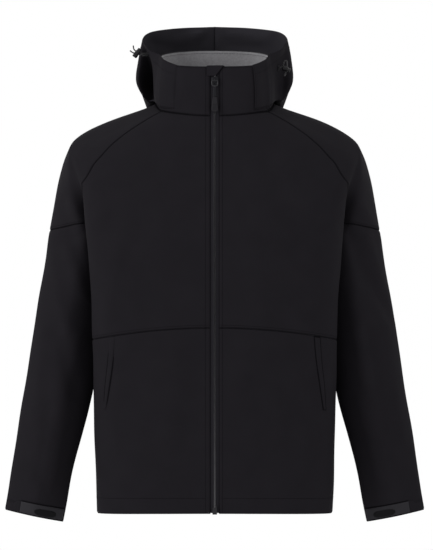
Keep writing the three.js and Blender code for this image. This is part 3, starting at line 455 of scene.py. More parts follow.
cross_seam = sleeve_seam(cap_shares)
sleeve_upper = from_cap(yoke_shares, cross_seam, np.ones_like(cross_seam))
armpit_rows = from_cap(armpit_shares, np.zeros_like(cross_seam), cross_seam)
tube_shares = shares(TUBE_LENGTH, True, False)
rings = [sleeve_ring(1 - u) for u in tube_shares]
arm = np.array([across(ring, [0, ring.length], [0, 1], SLEEVE_INNER) for ring in rings])
TOP_BLEND = 0.12
onto_cap = (cap[0] - arm[-1])[None] * smooth(1 - (1 - tube_shares) / TOP_BLEND)[:, None, None]
sleeve_lower = np.vstack([arm + onto_cap, armpit_rows[1:]])


def mirror(grid):
    return (grid * np.array([-1, 1, 1]))[:, ::-1]


def join_rows(a, b):
    return np.concatenate([a, b[:, 1:]], axis=1)


back_whole = join_rows(back_half, mirror(back_half))
neck_half = np.vstack([front_upper[-1], sleeve_upper[-1][1:], back_half[-1][1:]])
neck_ring = join_rows(neck_half[None], mirror(neck_half[None]))[0]


def collar_points(base, h):
    """Points of the stand collar over points of the neck ring, at a share of its height."""
    behind = (base[..., 1:2] - NECK_FRONT_Y) / (NECK_BACK_Y - NECK_FRONT_Y)
    x, y = base[..., 0:1], base[..., 1:2]
    from_zip = np.maximum(0, np.abs(x) - ZIP_HALF)
    top = np.concatenate([x - np.sign(x) * from_zip * (1 - COLLAR_NARROWING),
                          y * COLLAR_LEAN - COLLAR_FORWARD,
                          mix(COLLAR_TOP_FRONT, COLLAR_TOP_BACK, behind)], axis=-1)
    swell = COLLAR_SWELL * math.sin(math.pi * h) * np.minimum(1, from_zip / COLLAR_SWELL_WIDTH)
    out = unit(base * np.array([1, 1, 0]))
    return mix(base, top, h) + out * swell


collar_shares = shares(COLLAR_LENGTH, True, True)
collar = np.array([collar_points(neck_ring, h) for h in collar_shares])


# Shared normals, so that the walls of neighbours meet squarely at their seams.
BLEND_LIMIT = 0.2
SAME_POINT = 0.02


def cell_normals(grid):
    """Normal of each cell between the points, twice as long as its area."""
    return np.cross(grid[1:, 1:] - grid[:-1, :-1], grid[1:, :-1] - grid[:-1, 1:])


def grid_normals(grid):
    face = cell_normals(grid)
    total = np.zeros_like(grid)
    for rows in (slice(None, -1), slice(1, None)):
        for columns in (slice(None, -1), slice(1, None)):
            total[rows, columns] += face
    return total


def border_cells(grid):
    rows, columns = grid.shape[:2]
    cells = {(r, c) for r in range(rows) for c in (0, columns - 1)}
    return cells | {(r, c) for c in range(columns) for r in (0, rows - 1)}


def shared_normals(grids, families):
    """Normals of each grid, made equal where neighbours of a gentle enough bend meet."""
    own = [grid_normals(grid) for grid in grids]
    shared = {}
    key = lambda p: tuple(np.round(p / SAME_POINT).astype(int))
    for grid, normals, family in zip(grids, own, families):
        for r, c in border_cells(grid):
            sums = shared.setdefault(key(grid[r, c]), {})
            sums[family] = sums.get(family, 0) + normals[r, c]
    for sums in shared.values():
        torso, sleeve, stand = (sums.get(name) for name in ("torso", "sleeve", "collar"))
        if torso is not None and sleeve is not None and unit(torso) @ unit(sleeve) > BLEND_LIMIT:
            sums["torso"] = sums["sleeve"] = torso + sleeve
        body = sums.get("torso", sums.get("sleeve"))
        if stand is not None and body is not None and unit(stand) @ unit(body) > BLEND_LIMIT:
            together = unit(stand) + unit(body)
            for family in sums:
                sums[family] = together
    for grid, normals, family in zip(grids, own, families):
        for r, c in border_cells(grid):
            normals[r, c] = shared[key(grid[r, c])][family]
    return [unit(normals) for normals in own]


panels = {
    "front_upper_left": front_upper,
    "front_upper_right": mirror(front_upper),
    "front_lower_left": front_lower,
    "front_lower_right": mirror(front_lower),
    "back": back_whole,
    "sleeve_upper_left": sleeve_upper,
    "sleeve_upper_right": mirror(sleeve_upper),
    "sleeve_lower_left": sleeve_lower,
    "sleeve_lower_right": mirror(sleeve_lower),
    "collar": collar,
}


def family_of(name):
    if name.startswith("sleeve"):
        return "sleeve"
    return "collar" if name == "collar" else "torso"


normals = dict(zip(panels, shared_normals(list(panels.values()), [family_of(n) for n in panels])))

# Hood
neck_line = Line(neck_half)
hood_start = np.interp(HOOD_FRONT_X, neck_half[:len(front_upper[-1]), 0],
                       neck_line.lengths[:len(front_upper[-1])])


def outside_collar(s, h):
    """Point outside the collar: a share round the half neck from the hood's end, and a height."""
    length = mix(hood_start, neck_line.length, s)
    around = collar_points(neck_line.at(length + np.array([-1.5, 0, 1.5])), h)
    above = collar_points(neck_line.at(np.array([length])), h + SMALL_SHARE)[0]
    out = unit(np.cross(around[2] - around[0], above - around[1]))
    tilted = unit(out + np.array([0, 0, HOOD_TILT]))
    out = unit(mix(tilted, out, min(1, h / TILT_HEIGHT)))
    return around[1] + out * HOOD_LIFT


def hood_line(k, hollow):
    """One line round the hood: a reader of its points by the place, at a share of the hollow."""
    last = len(HOOD_LINES)
    height = lambda s: 1 + s * HOOD_RIM_RISE if k == last else mix(HOOD_SEAM_RISE, 1, k / last)
    if k == 0:
        return lambda s: outside_collar(s, height(s))
    points = np.array(HOOD_LINES[k - 1], float)
    if k <= len(HOLLOWS):
        deep = np.array(HOLLOWS[k - 1], float)
        points[:len(deep)] = mix(points[:len(deep)], deep, hollow)
    held = [[s, *outside_collar(s, height(s))] for s in HOOD_ON_COLLAR]
    free = track(held + [[s, *p] for s, p in zip(HOOD_ROUND, points)])
    return lambda s: outside_collar(s, height(s)) if s <= HOOD_ON_COLLAR[-1] else free(s)


def hood_half(hollow):
    lines = [hood_line(k, hollow) for k in range(len(HOOD_LINES) + 1)]
    columns = []
    for s in shares(HOOD_LENGTH, True, True):
        curve = Line(spline([line(s) for line in lines], HOOD_STEPS))
        columns.append(curve.at(shares(HOOD_WIDTH, True, True) * curve.length))
    grid = np.array(columns).transpose(1, 0, 2)
    grid[:, -1, 0] = 0
    return grid


hoods = {"hood_left": hood_half(HOLLOW_SHARE["left"]),
         "hood_right": mirror(hood_half(HOLLOW_SHARE["right"]))}
normals.update(zip(hoods, shared_normals(list(hoods.values()), ["torso", "torso"])))
panels.update(hoods)

# Soft folds. Columns: start and end in pixels of the camera's view, width and
# height in mm (a trough is negative), and the side they are on (-1 front, 1 back).
PIXEL = 1.8
FACING_STEEPNESS = 1.6
WAVE_PHASE = 40
ZIP_CALM = 30.0
ARMPIT_CALM = 36.0
# Points of the crease under the left arm, where the cloth keeps to its plain form.
ARMPIT = np.array([(167, 24, -235), (180, 2, -218), (205, -16, -201), (231, -52, -163),
                   (180, 43, -218), (192, 62, -200), (212, 82, -160)], float)
VIEW_CENTRE = (214.8, 105.0)
FOLDS = [
    # wearer's right sleeve
    (62, 205, 78, 260, 14, -3.6, -1), (54, 262, 66, 330, 12, 2.6, -1),
    (70, 250, 84, 296, 12, 3.0, -1), (60, 330, 74, 392, 14, -3.4, -1),
    (44, 330, 36, 420, 12, 2.6, -1), (78, 336, 62, 420, 13, 2.8, -1),
    (50, 410, 40, 476, 11, -2.8, -1), (62, 430, 52, 488, 10, 2.2, -1),
    # wearer's left sleeve
    (352, 196, 370, 222, 12, 3.4, -1), (346, 226, 366, 282, 13, -4.2, -1),
    (366, 236, 384, 292, 11, 3.8, -1), (374, 286, 390, 316, 10, -3.8, -1),
    (352, 296, 364, 380, 13, 3.0, -1), (366, 330, 382, 430, 13, -3.2, -1),
    (386, 330, 402, 440, 12, 3.0, -1), (360, 400, 378, 480, 11, 2.6, -1),
    # fronts
    (88, 172, 104, 214, 12, 2.2, -1), (342, 176, 328, 222, 12, 2.2, -1),
    (150, 300, 128, 420, 26, -2.0, -1), (286, 316, 300, 440, 26, -2.4, -1),
    (244, 348, 250, 500, 20, 2.0, -1), (176, 350, 168, 500, 22, 2.0, -1),
    (262, 150, 300, 240, 24, -2.4, -1), (160, 150, 132, 250, 24, -2.0, -1),
    (250, 230, 262, 310, 20, 1.8, -1), (118, 250, 108, 330, 16, 2.0, -1),
    # collar and the hood beside it
    (266, 72, 268, 106, 12, -4.2, -1), (288, 74, 292, 100, 9, 2.4, -1),
    (190, 78, 198, 110, 14, -1.6, -1), (168, 80, 176, 104, 9, 1.6, -1),
    # inside of the hood behind the neck
    (176, 36, 200, 29, 7, -3.4, 1), (150, 40, 172, 46, 9, 3.0, 1), (222, 40, 262, 46, 8, 3.4, 1),
    (232, 30, 268, 34, 9, -2.6, 1), (196, 44, 206, 34, 7, 2.4, 1),
    # back
    (120, 170, 150, 300, 22, -1.6, 1), (310, 168, 280, 310, 22, -1.6, 1),
    (214, 190, 210, 330, 24, 1.2, 1), (150, 330, 160, 480, 24, 1.3, 1),
    (282, 340, 270, 490, 24, 1.3, 1), (214, 360, 220, 500, 22, -1.0, 1),
    (92, 180, 112, 226, 12, 1.4, 1), (338, 180, 318, 226, 12, 1.4, 1),
    (60, 250, 70, 330, 13, -2.0, 1), (44, 330, 34, 430, 12, 1.8, 1),
    (66, 340, 56, 440, 12, 1.6, 1), (368, 250, 358, 330, 13, -2.0, 1),
    (386, 330, 396, 430, 12, 1.8, 1), (362, 340, 374, 440, 12, 1.6, 1),
]
# Waves that keep the cloth from lying dead flat. Columns: x, y and z of the wave, height in mm.
WAVES = [(0.021, 0.012, 0.034, 0.35), (-0.043, 0.024, 0.018, 0.25), (0.012, -0.03, 0.061, 0.2),
         (0.07, 0.03, -0.022, 0.12)]


def view_point(px, py):
    return np.array([(px - VIEW_CENTRE[0]) * PIXEL, (VIEW_CENTRE[1] - py) * PIXEL])


def calm(points):
    """Share of the folds and of the seams' depth, from none at an armpit to one away from it."""
    folded = points * np.where(points[..., :1] < 0, [-1.0, 1, 1], [1.0, 1, 1])
    from_armpit = np.min([np.linalg.norm(folded - p, axis=-1) for p in ARMPIT], axis=0)
    return smooth(from_armpit / ARMPIT_CALM)


def relief(points, outward):
    """Height of the soft folds at points of the cloth."""
    height = np.zeros(points.shape[:-1])
    flat = points[..., [0, 2]]
    for x1, y1, x2, y2, width, depth, side in FOLDS:
        a, b = view_point(x1, y1), view_point(x2, y2)
        way = b - a
        share = np.clip(((flat - a) @ way) / (way @ way), 0, 1)
        gap = np.linalg.norm(flat - a - share[..., None] * way, axis=-1)
        facing = smooth(side * outward[..., 1] * FACING_STEEPNESS)
        height += depth * np.exp(-(gap / width) ** 2) * facing
    for x, y, z, size in WAVES:
        height += size * np.sin(points @ np.array([x, y, z]) + WAVE_PHASE * size)
    return height * smooth(np.abs(points[..., 0]) / ZIP_CALM) * calm(points)


def border_gap(grid, side):
    """Distance along the cloth from each point to one border."""
    axis = 1 if side in ("first", "last") else 0
    steps = np.linalg.norm(np.diff(grid, axis=axis), axis=-1)
    total = np.cumsum(steps, axis=axis)
    lengths = np.concatenate([np.zeros_like(total.take([0], axis)), total], axis=axis)
    if side in ("last", "high"):
        lengths = lengths.take([-1], axis) - lengths
    return lengths


SIDES = ("first", "last", "low", "high")


def edge_closeness(grid, sides=SIDES, reach=EDGE_ROLL):
    gap = np.min([border_gap(grid, side) for side in sides], axis=0)
    return np.exp(-(gap / reach) ** 2)


def trimmed(grid, gap, joined=""):
    """Border points moved inwards by half the seam gap, but for a border that is joined."""
    out = grid.copy()
    for side, here, inside in (("first", np.s_[:, 0], np.s_[:, 1]),
                               ("last", np.s_[:, -1], np.s_[:, -2]),
                               ("low", 0, 1), ("high", -1, -2)):
        if side != joined:
            out[here] += unit(grid[inside] - out[here]) * gap / 2
    return out


# Materials
def material(name, colour, roughness, values=None):
    """A material with plain numbers on its shader, and more of them by the sockets' names."""
    made = bpy.data.materials.new(name)
    made.use_nodes = True
    shader = made.node_tree.nodes["Principled BSDF"]
    shader.inputs["Base Color"].default_value = (*colour, 1)
    shader.inputs["Roughness"].default_value = roughness
    for socket, value in (values or {}).items():
        shader.inputs[socket].default_value = value
    return made, made.node_tree, shader


def node(tree, kind, **values):
    made = tree.nodes.new(kind)
    for key, value in values.items():
        if hasattr(made, key):
            setattr(made, key, value)
        else:
            made.inputs[key.replace("_", " ").title()].default_value = value
    return made


def pattern(tree, coordinate, kind, **values):
    """Strength of a pattern, laid out by the UV in metres or by the object's own place."""
    made = node(tree, kind, **values)
    place = tree.nodes.new("ShaderNodeTexCoord").outputs[coordinate]
    tree.links.new(place, made.inputs["Vector"])
    return made.outputs["Fac"]


def noise(tree, scale, detail, **values):
    return pattern(tree, "Object", "ShaderNodeTexNoise", scale=scale, detail=detail, **values)


def bands(tree, direction, scale, **values):
    return pattern(tree, "UV", "ShaderNodeTexWave", wave_type="BANDS",
                   bands_direction=direction, scale=scale, **values)


def bump(tree, shader, height, strength, distance, after=None):
    made = node(tree, "ShaderNodeBump", strength=strength, distance=distance)
    tree.links.new(height, made.inputs["Height"])
    if after is not None:
        tree.links.new(after.outputs["Normal"], made.inputs["Normal"])
    tree.links.new(made.outputs["Normal"], shader.inputs["Normal"])
    return made


def tint(tree, shader, factor, dark, light):
    ramp = node(tree, "ShaderNodeMix", data_type="RGBA")
    ramp.inputs["A"].default_value = (*dark, 1)
    ramp.inputs["B"].default_value = (*light, 1)
    tree.links.new(factor, ramp.inputs["Factor"])
    tree.links.new(ramp.outputs["Result"], shader.inputs["Base Color"])


def woven(name, dark, light, roughness, pitch, specular, sheen=0.0):
    """Cloth with a fine weave drawn by the UV, and a little mottling."""
    made, tree, shader = material(name, dark, roughness, {
        "Sheen Weight": sheen, "Sheen Roughness": 0.45, "Specular IOR Level": specular})
    tint(tree, shader, noise(tree, 26.0, 4.0), dark, light)
    weave = node(tree, "ShaderNodeMath", operation="MULTIPLY")
    for k, direction in enumerate("XY"):
        threads = bands(tree, direction, 1 / pitch / BANDS_PER_SCALE, distortion=0.6, detail=1.0,
                        detail_scale=2.0)
        tree.links.new(threads, weave.inputs[k])
    fine = bump(tree, shader, weave.outputs[0], 0.22, 0.00025)
    bump(tree, shader, noise(tree, 90.0, 3.0), 0.12, 0.0015, after=fine)
    return made


def fleece_material():
    made, tree, shader = material("fleece", (0.2, 0.2, 0.21), 0.95, {
        "Sheen Weight": 0.35, "Sheen Roughness": 0.6})
    mottle = noise(tree, 260.0, 5.0, roughness=0.7)
    tint(tree, shader, mottle, (0.09, 0.088, 0.094), (0.25, 0.245, 0.258))
    bump(tree, shader, noise(tree, 900.0, 4.0, roughness=0.75), 0.8, 0.0012)
    return made


def moulded_material(name, colour, roughness, specular):
    made, tree, shader = material(name, colour, roughness, {"Specular IOR Level": specular})
    bump(tree, shader, noise(tree, 1200.0, 2.0), 0.15, 0.0002)
    return made


def metal_material(name, colour):
    made, tree, shader = material(name, colour, 0.32, {"Metallic": 0.9})
    spread = node(tree, "ShaderNodeMapRange", to_min=0.26, to_max=0.42)
    tree.links.new(noise(tree, 700.0, 3.0), spread.inputs["Value"])
    tree.links.new(spread.outputs["Result"], shader.inputs["Roughness"])
    return made


def braid_material():
    made, tree, shader = material("braided cord", (0.009, 0.0085, 0.0105), 0.75,
                                  {"Sheen Weight": 0.2})
    bump(tree, shader, bands(tree, "DIAGONAL", 260.0, distortion=1.0), 0.7, 0.0004)
    return made


# Bands of the wave texture to one unit of length, at a scale of one.
BANDS_PER_SCALE = 3.18
# Woven cloths. Values: name, dark and light colour, roughness, pitch in metres, specular.
SHELL = woven("shell cloth", (0.008, 0.0072, 0.009), (0.0104, 0.0094, 0.0116), 0.88, 0.0006, 0.05)
# The shell's black cloth made lighter on the hood's inner faces: painted light inside the hood.
PAINTED_LIGHT_IN_HOOD = woven("hood inner face, painted light", (0.021, 0.02, 0.0245), (0.028, 0.0265, 0.0315), 0.9, 0.0006,
                    0.06)
# Almost black: painted shade along the seams, painted shadow in the pocket openings, past the zip's
# flap and round the cuff tabs. The bar tack on the right pocket is drawn in it too.
PAINTED_SHADE_AND_TACK = woven("painted shade and bar tack", (0.0036, 0.0033, 0.0041), (0.0048, 0.0044, 0.0054), 0.95, 0.0006, 0.02)
TAB_CLOTH = woven("tab cloth", (0.0135, 0.0128, 0.0155), (0.0165, 0.0155, 0.0185), 0.7, 0.0005,
                  0.12, sheen=0.02)
TAPE = woven("zip tape", (0.0105, 0.0098, 0.0122), (0.0135, 0.0126, 0.0155), 0.9, 0.0007, 0.06)
THREAD = woven("thread", (0.0024, 0.0022, 0.0028), (0.0034, 0.0031, 0.0038), 0.9, 0.0004, 0.03)
FLEECE = fleece_material()
# Moulded materials. Values: name, colour, roughness, specular.
TEETH = moulded_material("zip teeth", (0.012, 0.0115, 0.0135), 0.4, 0.18)
RUBBER = moulded_material("moulded rubber", (0.0095, 0.009, 0.011), 0.6, 0.13)
LOCK_RUBBER = moulded_material("cord lock", (0.005, 0.0047, 0.0057), 0.35, 0.2)
DARK_RUBBER = moulded_material("dark rubber", (0.0042, 0.004, 0.0048), 0.55, 0.06)
METAL = metal_material("lacquered metal", (0.012, 0.012, 0.014))
BARE_METAL = metal_material("worn metal", (0.035, 0.035, 0.037))
BRAID = braid_material()


# Making of meshes
def add(name, data):
    """A new object in the scene."""
    made = bpy.data.objects.new(name, data)
    bpy.context.collection.objects.link(made)
    return made


def mesh_piece(name, vertices, faces, materials, uvs=None, indices=None, sharp=None, flat=False):
    mesh = bpy.data.meshes.new(name)
    mesh.from_pydata((np.asarray(vertices, float) * MM).tolist(), [], np.asarray(faces).tolist()
                     if isinstance(faces, np.ndarray) else faces)
    for used in materials:
        mesh.materials.append(used)
    if indices is not None:
        mesh.polygons.foreach_set("material_index", indices)
    mesh.polygons.foreach_set("use_smooth", [not flat] * len(mesh.polygons))
    if uvs is not None:
        layer = mesh.uv_layers.new(name="UVMap")
        corner = np.empty(len(mesh.loops), int)
        mesh.loops.foreach_get("vertex_index", corner)
        layer.data.foreach_set("uv", (np.asarray(uvs)[corner] * MM).ravel())
    if sharp is not None:
        ends = np.empty(len(mesh.edges) * 2, int)
        mesh.edges.foreach_get("vertices", ends)
        ends = ends.reshape(-1, 2)
        marked = sharp[ends[:, 0]] & sharp[ends[:, 1]]
        layer = mesh.attributes.new("sharp_edge", "BOOLEAN", "EDGE")
        layer.data.foreach_set("value", marked)
    mesh.update()
    return add(name, mesh)


def flip_over(mesh):
    """Mirrors a mesh from the left side to the right one."""
    mesh.transform(LEFT_TO_RIGHT)
    mesh.flip_normals()


def shell_of(name, outer, inner, materials, seams=(), painted_shade_inside=None):
    """A closed thin wall between two grids of points.

    Its outside has the first material, with the second one at the borders in seams, which is
    painted shade there. Its inside has the last material, but the first one, as painted shade,
    where painted_shade_inside holds.
    """
    rows, columns = outer.shape[:2]
    index = np.arange(rows * columns).reshape(rows, columns)
    below = index + rows * columns
    quads = lambda a, b, c, d: np.stack([a.ravel(), b.ravel(), c.ravel(), d.ravel()], axis=1)
    top = quads(index[:-1, :-1], index[:-1, 1:], index[1:, 1:], index[1:, :-1])
    bottom = quads(below[:-1, :-1], below[1:, :-1], below[1:, 1:], below[:-1, 1:])
    rim = [quads(index[:-1, 0], index[1:, 0], below[1:, 0], below[:-1, 0]),
           quads(index[:-1, -1], below[:-1, -1], below[1:, -1], index[1:, -1]),
           quads(index[0, :-1], below[0, :-1], below[0, 1:], index[0, 1:]),
           quads(index[-1, :-1], index[-1, 1:], below[-1, 1:], below[-1, :-1])]
    faces = np.vstack([top, bottom, *rim])
    kinds = np.zeros(len(faces), int)
    outside, inside = kinds[:len(top)], kinds[len(top):len(top) + len(bottom)]
    inside[:] = len(materials) - 1
    painted_seam_shade_cells = np.zeros((rows - 1, columns - 1), bool)
    for side, part in (("first", np.s_[:, :SEAM_CELLS]), ("last", np.s_[:, -SEAM_CELLS:]),
                       ("low", np.s_[:SEAM_CELLS]), ("high", np.s_[-SEAM_CELLS:])):
        painted_seam_shade_cells[part] |= side in seams
    outside[painted_seam_shade_cells.ravel()] = 1
    if painted_shade_inside is not None:
        inside[painted_shade_inside[:-1, :-1].ravel()] = 0
    on_border = np.zeros((rows, columns), bool)
    on_border[[0, -1]] = True
    on_border[:, [0, -1]] = True
    uv = np.stack([border_gap(outer, "first"), border_gap(outer, "low")], axis=-1).reshape(-1, 2)
    points = np.vstack([outer.reshape(-1, 3), inner.reshape(-1, 3)])
    return mesh_piece(name, points, faces, materials, np.vstack([uv, uv]), kinds,
                      np.tile(on_border.ravel(), 2))


def cut_of(grid):
    """Flat width, length and area of the cut that a grid of points was made from, in metres."""
    width = border_gap(grid, "first")[:, -1].max() * MM
    length = border_gap(grid, "low")[-1].max() * MM
    area = np.linalg.norm(cell_normals(grid), axis=-1).sum() / 2 * MM * MM
    return (width, length), min(area, width * length)


def belongs(piece, slot, *replaced, body="garment"):
    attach(piece, body)
    if replaced:
        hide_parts(*replaced)
    return piece


# Outer points of each cloth and the ways out there.
surfaces = {}


def cloth_piece(name, thickness=CLOTH, lift=0.0, materials=(SHELL, FLEECE), slot="shell",
                source=None, joined="", melted=""):
    """The thin shell of one panel, with its folds and with edges that roll in at the seams.

    A joined border meets its neighbour without a gap, and a melted one goes down into it.
    """
    grid, outward = panels[source or name], normals[source or name]
    height = relief(grid, outward)
    if melted:
        height = height - HOOD_MELT * smooth(1 - border_gap(grid, melted) / HOOD_MELT_WIDTH)
    close = edge_closeness(grid) * calm(grid)
    edge = trimmed(grid, SEAM_GAP, joined)
    outer = edge + outward * (lift + height - SEAM_SINK * close)[..., None]
    groove = edge_closeness(grid, (joined,)) * HOOD_GROOVE if joined else INNER_ROLL * close
    inner = edge + outward * (lift + height - thickness + groove)[..., None]
    surfaces[name] = (outer, outward)
    # Cells beside the seams are almost black: painted shade in the seams' grooves.
    seamed = [materials[0], PAINTED_SHADE_AND_TACK, materials[-1]]
    seams = [side for side in SIDES if side != melted]
    # By the armpits the inside is the dark outer cloth, not the fleece: painted shade in the crevice.
    piece = shell_of(name + "_cloth", outer, inner, seamed, seams, calm(grid) < 1)
    belongs(piece, slot, name)
    flat, area = cut_of(grid)


def add_camera():
    data = bpy.data.cameras.new("camera")
    data.lens = LENS
    data.dof.use_dof = False
    data.clip_end = 100
    camera = add("camera", data)
    camera.location = CAMERA_PLACE
    camera.rotation_euler = (math.pi / 2, 0, 0)
    bpy.context.scene.camera = camera


def round_faces(count, sides):
    """Faces between the rings of a round body, and the faces that close its two ends."""
    index = np.arange(count * sides).reshape(count, sides)
    after = np.roll(index, -1, axis=1)
    around = np.stack([index[:-1], after[:-1], after[1:], index[1:]], axis=-1)
    return around.reshape(-1, 4).tolist(), [index[0][::-1].tolist(), index[-1].tolist()]


def tube(name, points, radius, used, sides=10, smooth_steps=12):
    """A closed round tube along a curve through points, with UV round it and along it."""
    line = Line(spline(points, smooth_steps))
    count = int(line.length / (radius * RING_STEP))
    centre = line.at(np.linspace(0, line.length, count))
    tangent = unit(np.gradient(centre, axis=0))
    side = unit(np.cross(tangent, ASIDE))
    other = np.cross(tangent, side)
    angle = np.arange(sides) / sides * 2 * math.pi
    rings = (centre[:, None] + radius * (side[:, None] * np.cos(angle)[None, :, None]
                                         + other[:, None] * np.sin(angle)[None, :, None]))
    around, ends = round_faces(count, sides)
    uv = np.stack([np.tile(angle * radius, count),
                   np.repeat(np.linspace(0, line.length, count), sides)], axis=1)
    piece = mesh_piece(name, rings.reshape(-1, 3), around + ends, [used], uv)
    return piece, centre, line.length


def join(name, pieces):
    """Several loose meshes made into one."""
    bpy.ops.object.select_all(action="DESELECT")
    for piece in pieces:
        piece.select_set(True)
    bpy.context.view_layer.objects.active = pieces[0]
    bpy.ops.object.join()
    pieces[0].name = name
    pieces[0].data.name = name
    return pieces[0]


def lathe(name, profile, at, axis, used):
    """A turned solid: profile of (radius, height) from bottom to top, about an axis.

    A profile that ends where it starts makes a ring.
    """
    angle = np.arange(TURNED_SIDES) / TURNED_SIDES * 2 * math.pi
    rings = np.array([[(r * math.cos(a), r * math.sin(a), h) for a in angle] for r, h in profile])
    turn = np.array(Vector(axis).to_track_quat("Z", "Y").to_matrix())
    faces, ends = round_faces(len(profile), TURNED_SIDES)
    if profile[0] == profile[-1]:
        rings = rings[:-1]
        faces = [[i % (len(rings) * TURNED_SIDES) for i in face] for face in faces]
    else:
        faces += ends
    return mesh_piece(name, rings.reshape(-1, 3) @ turn.T + np.array(at), faces, [used])


def cord_pieces():
    for name, points in CORDS.items():
        piece, centre, length = tube(name + "_braid", points, CORD_RADIUS, BRAID)
        belongs(piece, "cord", name)


def round_profile(radius, half):
    """Barrel of a cord lock: a ribbed body with a push button at its top."""
    foot = 1.8 - half
    body = [(0.001, -half), (radius * 0.72, -half), (radius * 0.92, 0.6 - half), (radius, foot)]
    for k in range(LOCK_GROOVES):
        low = mix(foot, half * 0.1, k / LOCK_GROOVES)
        body += [(radius * share, low + up)
                 for share, up in ((1, 0.5), (0.9, 0.8), (0.9, 1.3), (1, 1.6))]
    top = [(1, 0.24), (0.94, 0.34), (0.75, 0.38), (0.72, 0.8), (0.6, 0.95)]
    return body + [(radius * share, half * up) for share, up in top] + [(0.001, half)]


def lock_piece(side):
    spec = LOCKS[side]
    piece = lathe("cord_lock_barrel_" + side, round_profile(spec["radius"], spec["half"]),
                  spec["at"], spec["axis"], LOCK_RUBBER)
    return belongs(piece, "moulded", "cord_lock_" + side)


add_camera()
locks = {side: lock_piece(side) for side in LOCKS}
cord_pieces()

for panel in panels:
    if panel != "collar" and panel not in hoods:
        cloth_piece(panel)
cloth_piece("collar", materials=(SHELL, SHELL))
cloth_piece("hood_left", materials=(SHELL, PAINTED_LIGHT_IN_HOOD), joined="last")
cloth_piece("hood_right", materials=(SHELL, PAINTED_LIGHT_IN_HOOD), joined="first", melted="last")
cloth_piece("collar_lining", thickness=LINING, lift=-CLOTH - LINING_GAP, materials=(FLEECE,),
            slot="lining", source="collar")


# Zip, drawn in a frame on the centre front: x across, y up the zip, z outwards.
plain_line = np.vstack([panels[name][:, 0] for name in
                        ("front_lower_left", "front_upper_left", "collar")])
plain_line = plain_line[np.argsort(plain_line[:, 2])]


def zip_y(z):
    return float(np.interp(z, plain_line[:, 2], plain_line[:, 1]))


def zip_frame(z):
    """Matrix of the zip's frame at a height."""
    up = unit(np.array([0, zip_y(z + 1) - zip_y(z - 1), 2.0]))
    columns = np.array([(1, 0, 0), up, np.cross([1, 0, 0], up), (0, zip_y(z), z)])
    return Matrix([*columns.T.tolist(), (0, 0, 0, 1)])


def on_zip(frame_there, points):
    """Points of the zip's frame in the space of the scene, in mm."""
    return (np.array([(*p, 1) for p in points]) @ np.array(frame_there).T)[:, :3]


def plate(name, outline, thick, lift, bevel, used, place, holes=()):
    """A flat plate with rounded edges, from an outline in the frame of the zip."""
    curve = bpy.data.curves.new(name, "CURVE")
    curve.dimensions = "2D"
    curve.fill_mode = "BOTH"
    curve.extrude = thick / 2 - bevel
    curve.bevel_depth = bevel
    curve.bevel_resolution = 3
    curve.offset = -bevel
    for ring in (outline, *holes):
        line = curve.splines.new("POLY")
        line.points.add(len(ring) - 1)
        for point, (x, y) in zip(line.points, ring):
            point.co = (x, y, 0, 1)
        line.use_cyclic_u = True
    shape = add(name, curve)
    depsgraph = bpy.context.evaluated_depsgraph_get()
    mesh = bpy.data.meshes.new_from_object(shape.evaluated_get(depsgraph))
    bpy.data.objects.remove(shape)
    bpy.data.curves.remove(curve)
    scale = Matrix.Diagonal((MM, MM, MM, 1))
    mesh.transform(scale @ place @ Matrix.Translation((0, 0, lift + thick / 2)))
    mesh.materials.clear()
    mesh.materials.append(used)
    mesh.name = name
    return add(name, mesh)


def rounded(points, radius):
    """An outline with its corners rounded."""
    out = []
    p = np.array(points, float)
    for k in range(len(p)):
        before, here, after = p[k - 1], p[k], p[(k + 1) % len(p)]
        a, b = before - here, after - here
        cut = min(radius, np.linalg.norm(a) / 2.2, np.linalg.norm(b) / 2.2)
        start, end = here + unit(a) * cut, here + unit(b) * cut
        for u in np.linspace(0, 1, CORNER_STEPS):
            out.append(tuple((1 - u) ** 2 * start + 2 * u * (1 - u) * here + u * u * end))
    return out


def zip_chain():
    """Moulded teeth in two interlocking rows."""
    levels = ((-TOOTH_HALF, 0.86), (-TOOTH_HALF * 0.6, 1), (TOOTH_HALF * 0.6, 1),
              (TOOTH_HALF, 0.86))
    count = len(TOOTH)
    around, ends = round_faces(len(levels), count)
    vertices, faces = [], []
    z = CHAIN_BOTTOM
    while z < CHAIN_TOP:
        flip = len(vertices) % 2 == 1
        side = -1 if flip else 1
        ring = [(side * x, y, mix(TOOTH_FOOT, height, share))
                for y, share in levels for x, height in TOOTH]
        base = len(vertices) * len(ring)
        for face in around + ends:
            face = [base + i for i in face]
            faces.append(face[::-1] if flip else face)
        vertices.append(on_zip(zip_frame(z), ring))
        z += TOOTH_PITCH / 2
    return mesh_piece("zip_teeth", np.vstack(vertices), faces, [TEETH], flat=True)


def tape_piece(side, x_ends, out_ends):
    """One tape: a closed strip along the zip, between two distances from its middle."""
    levels = np.linspace(HEM_Z + TAPE_SHORT, COLLAR_TOP_FRONT - TAPE_SHORT, 160)
    frames = [zip_frame(z) for z in levels]
    columns = np.linspace(0, 1, 5)
    outer, inner = (np.array([on_zip(f, [(mix(*x_ends, u), 0, mix(*out_ends, u) - sink)
                                         for u in columns]) for f in frames])
                    for sink in (0, TAPE_THICK))
    strip = shell_of(f"zip_tape_{side}_cloth", outer, inner, [TAPE])
    belongs(strip, "tape", "zip_tape_" + side)


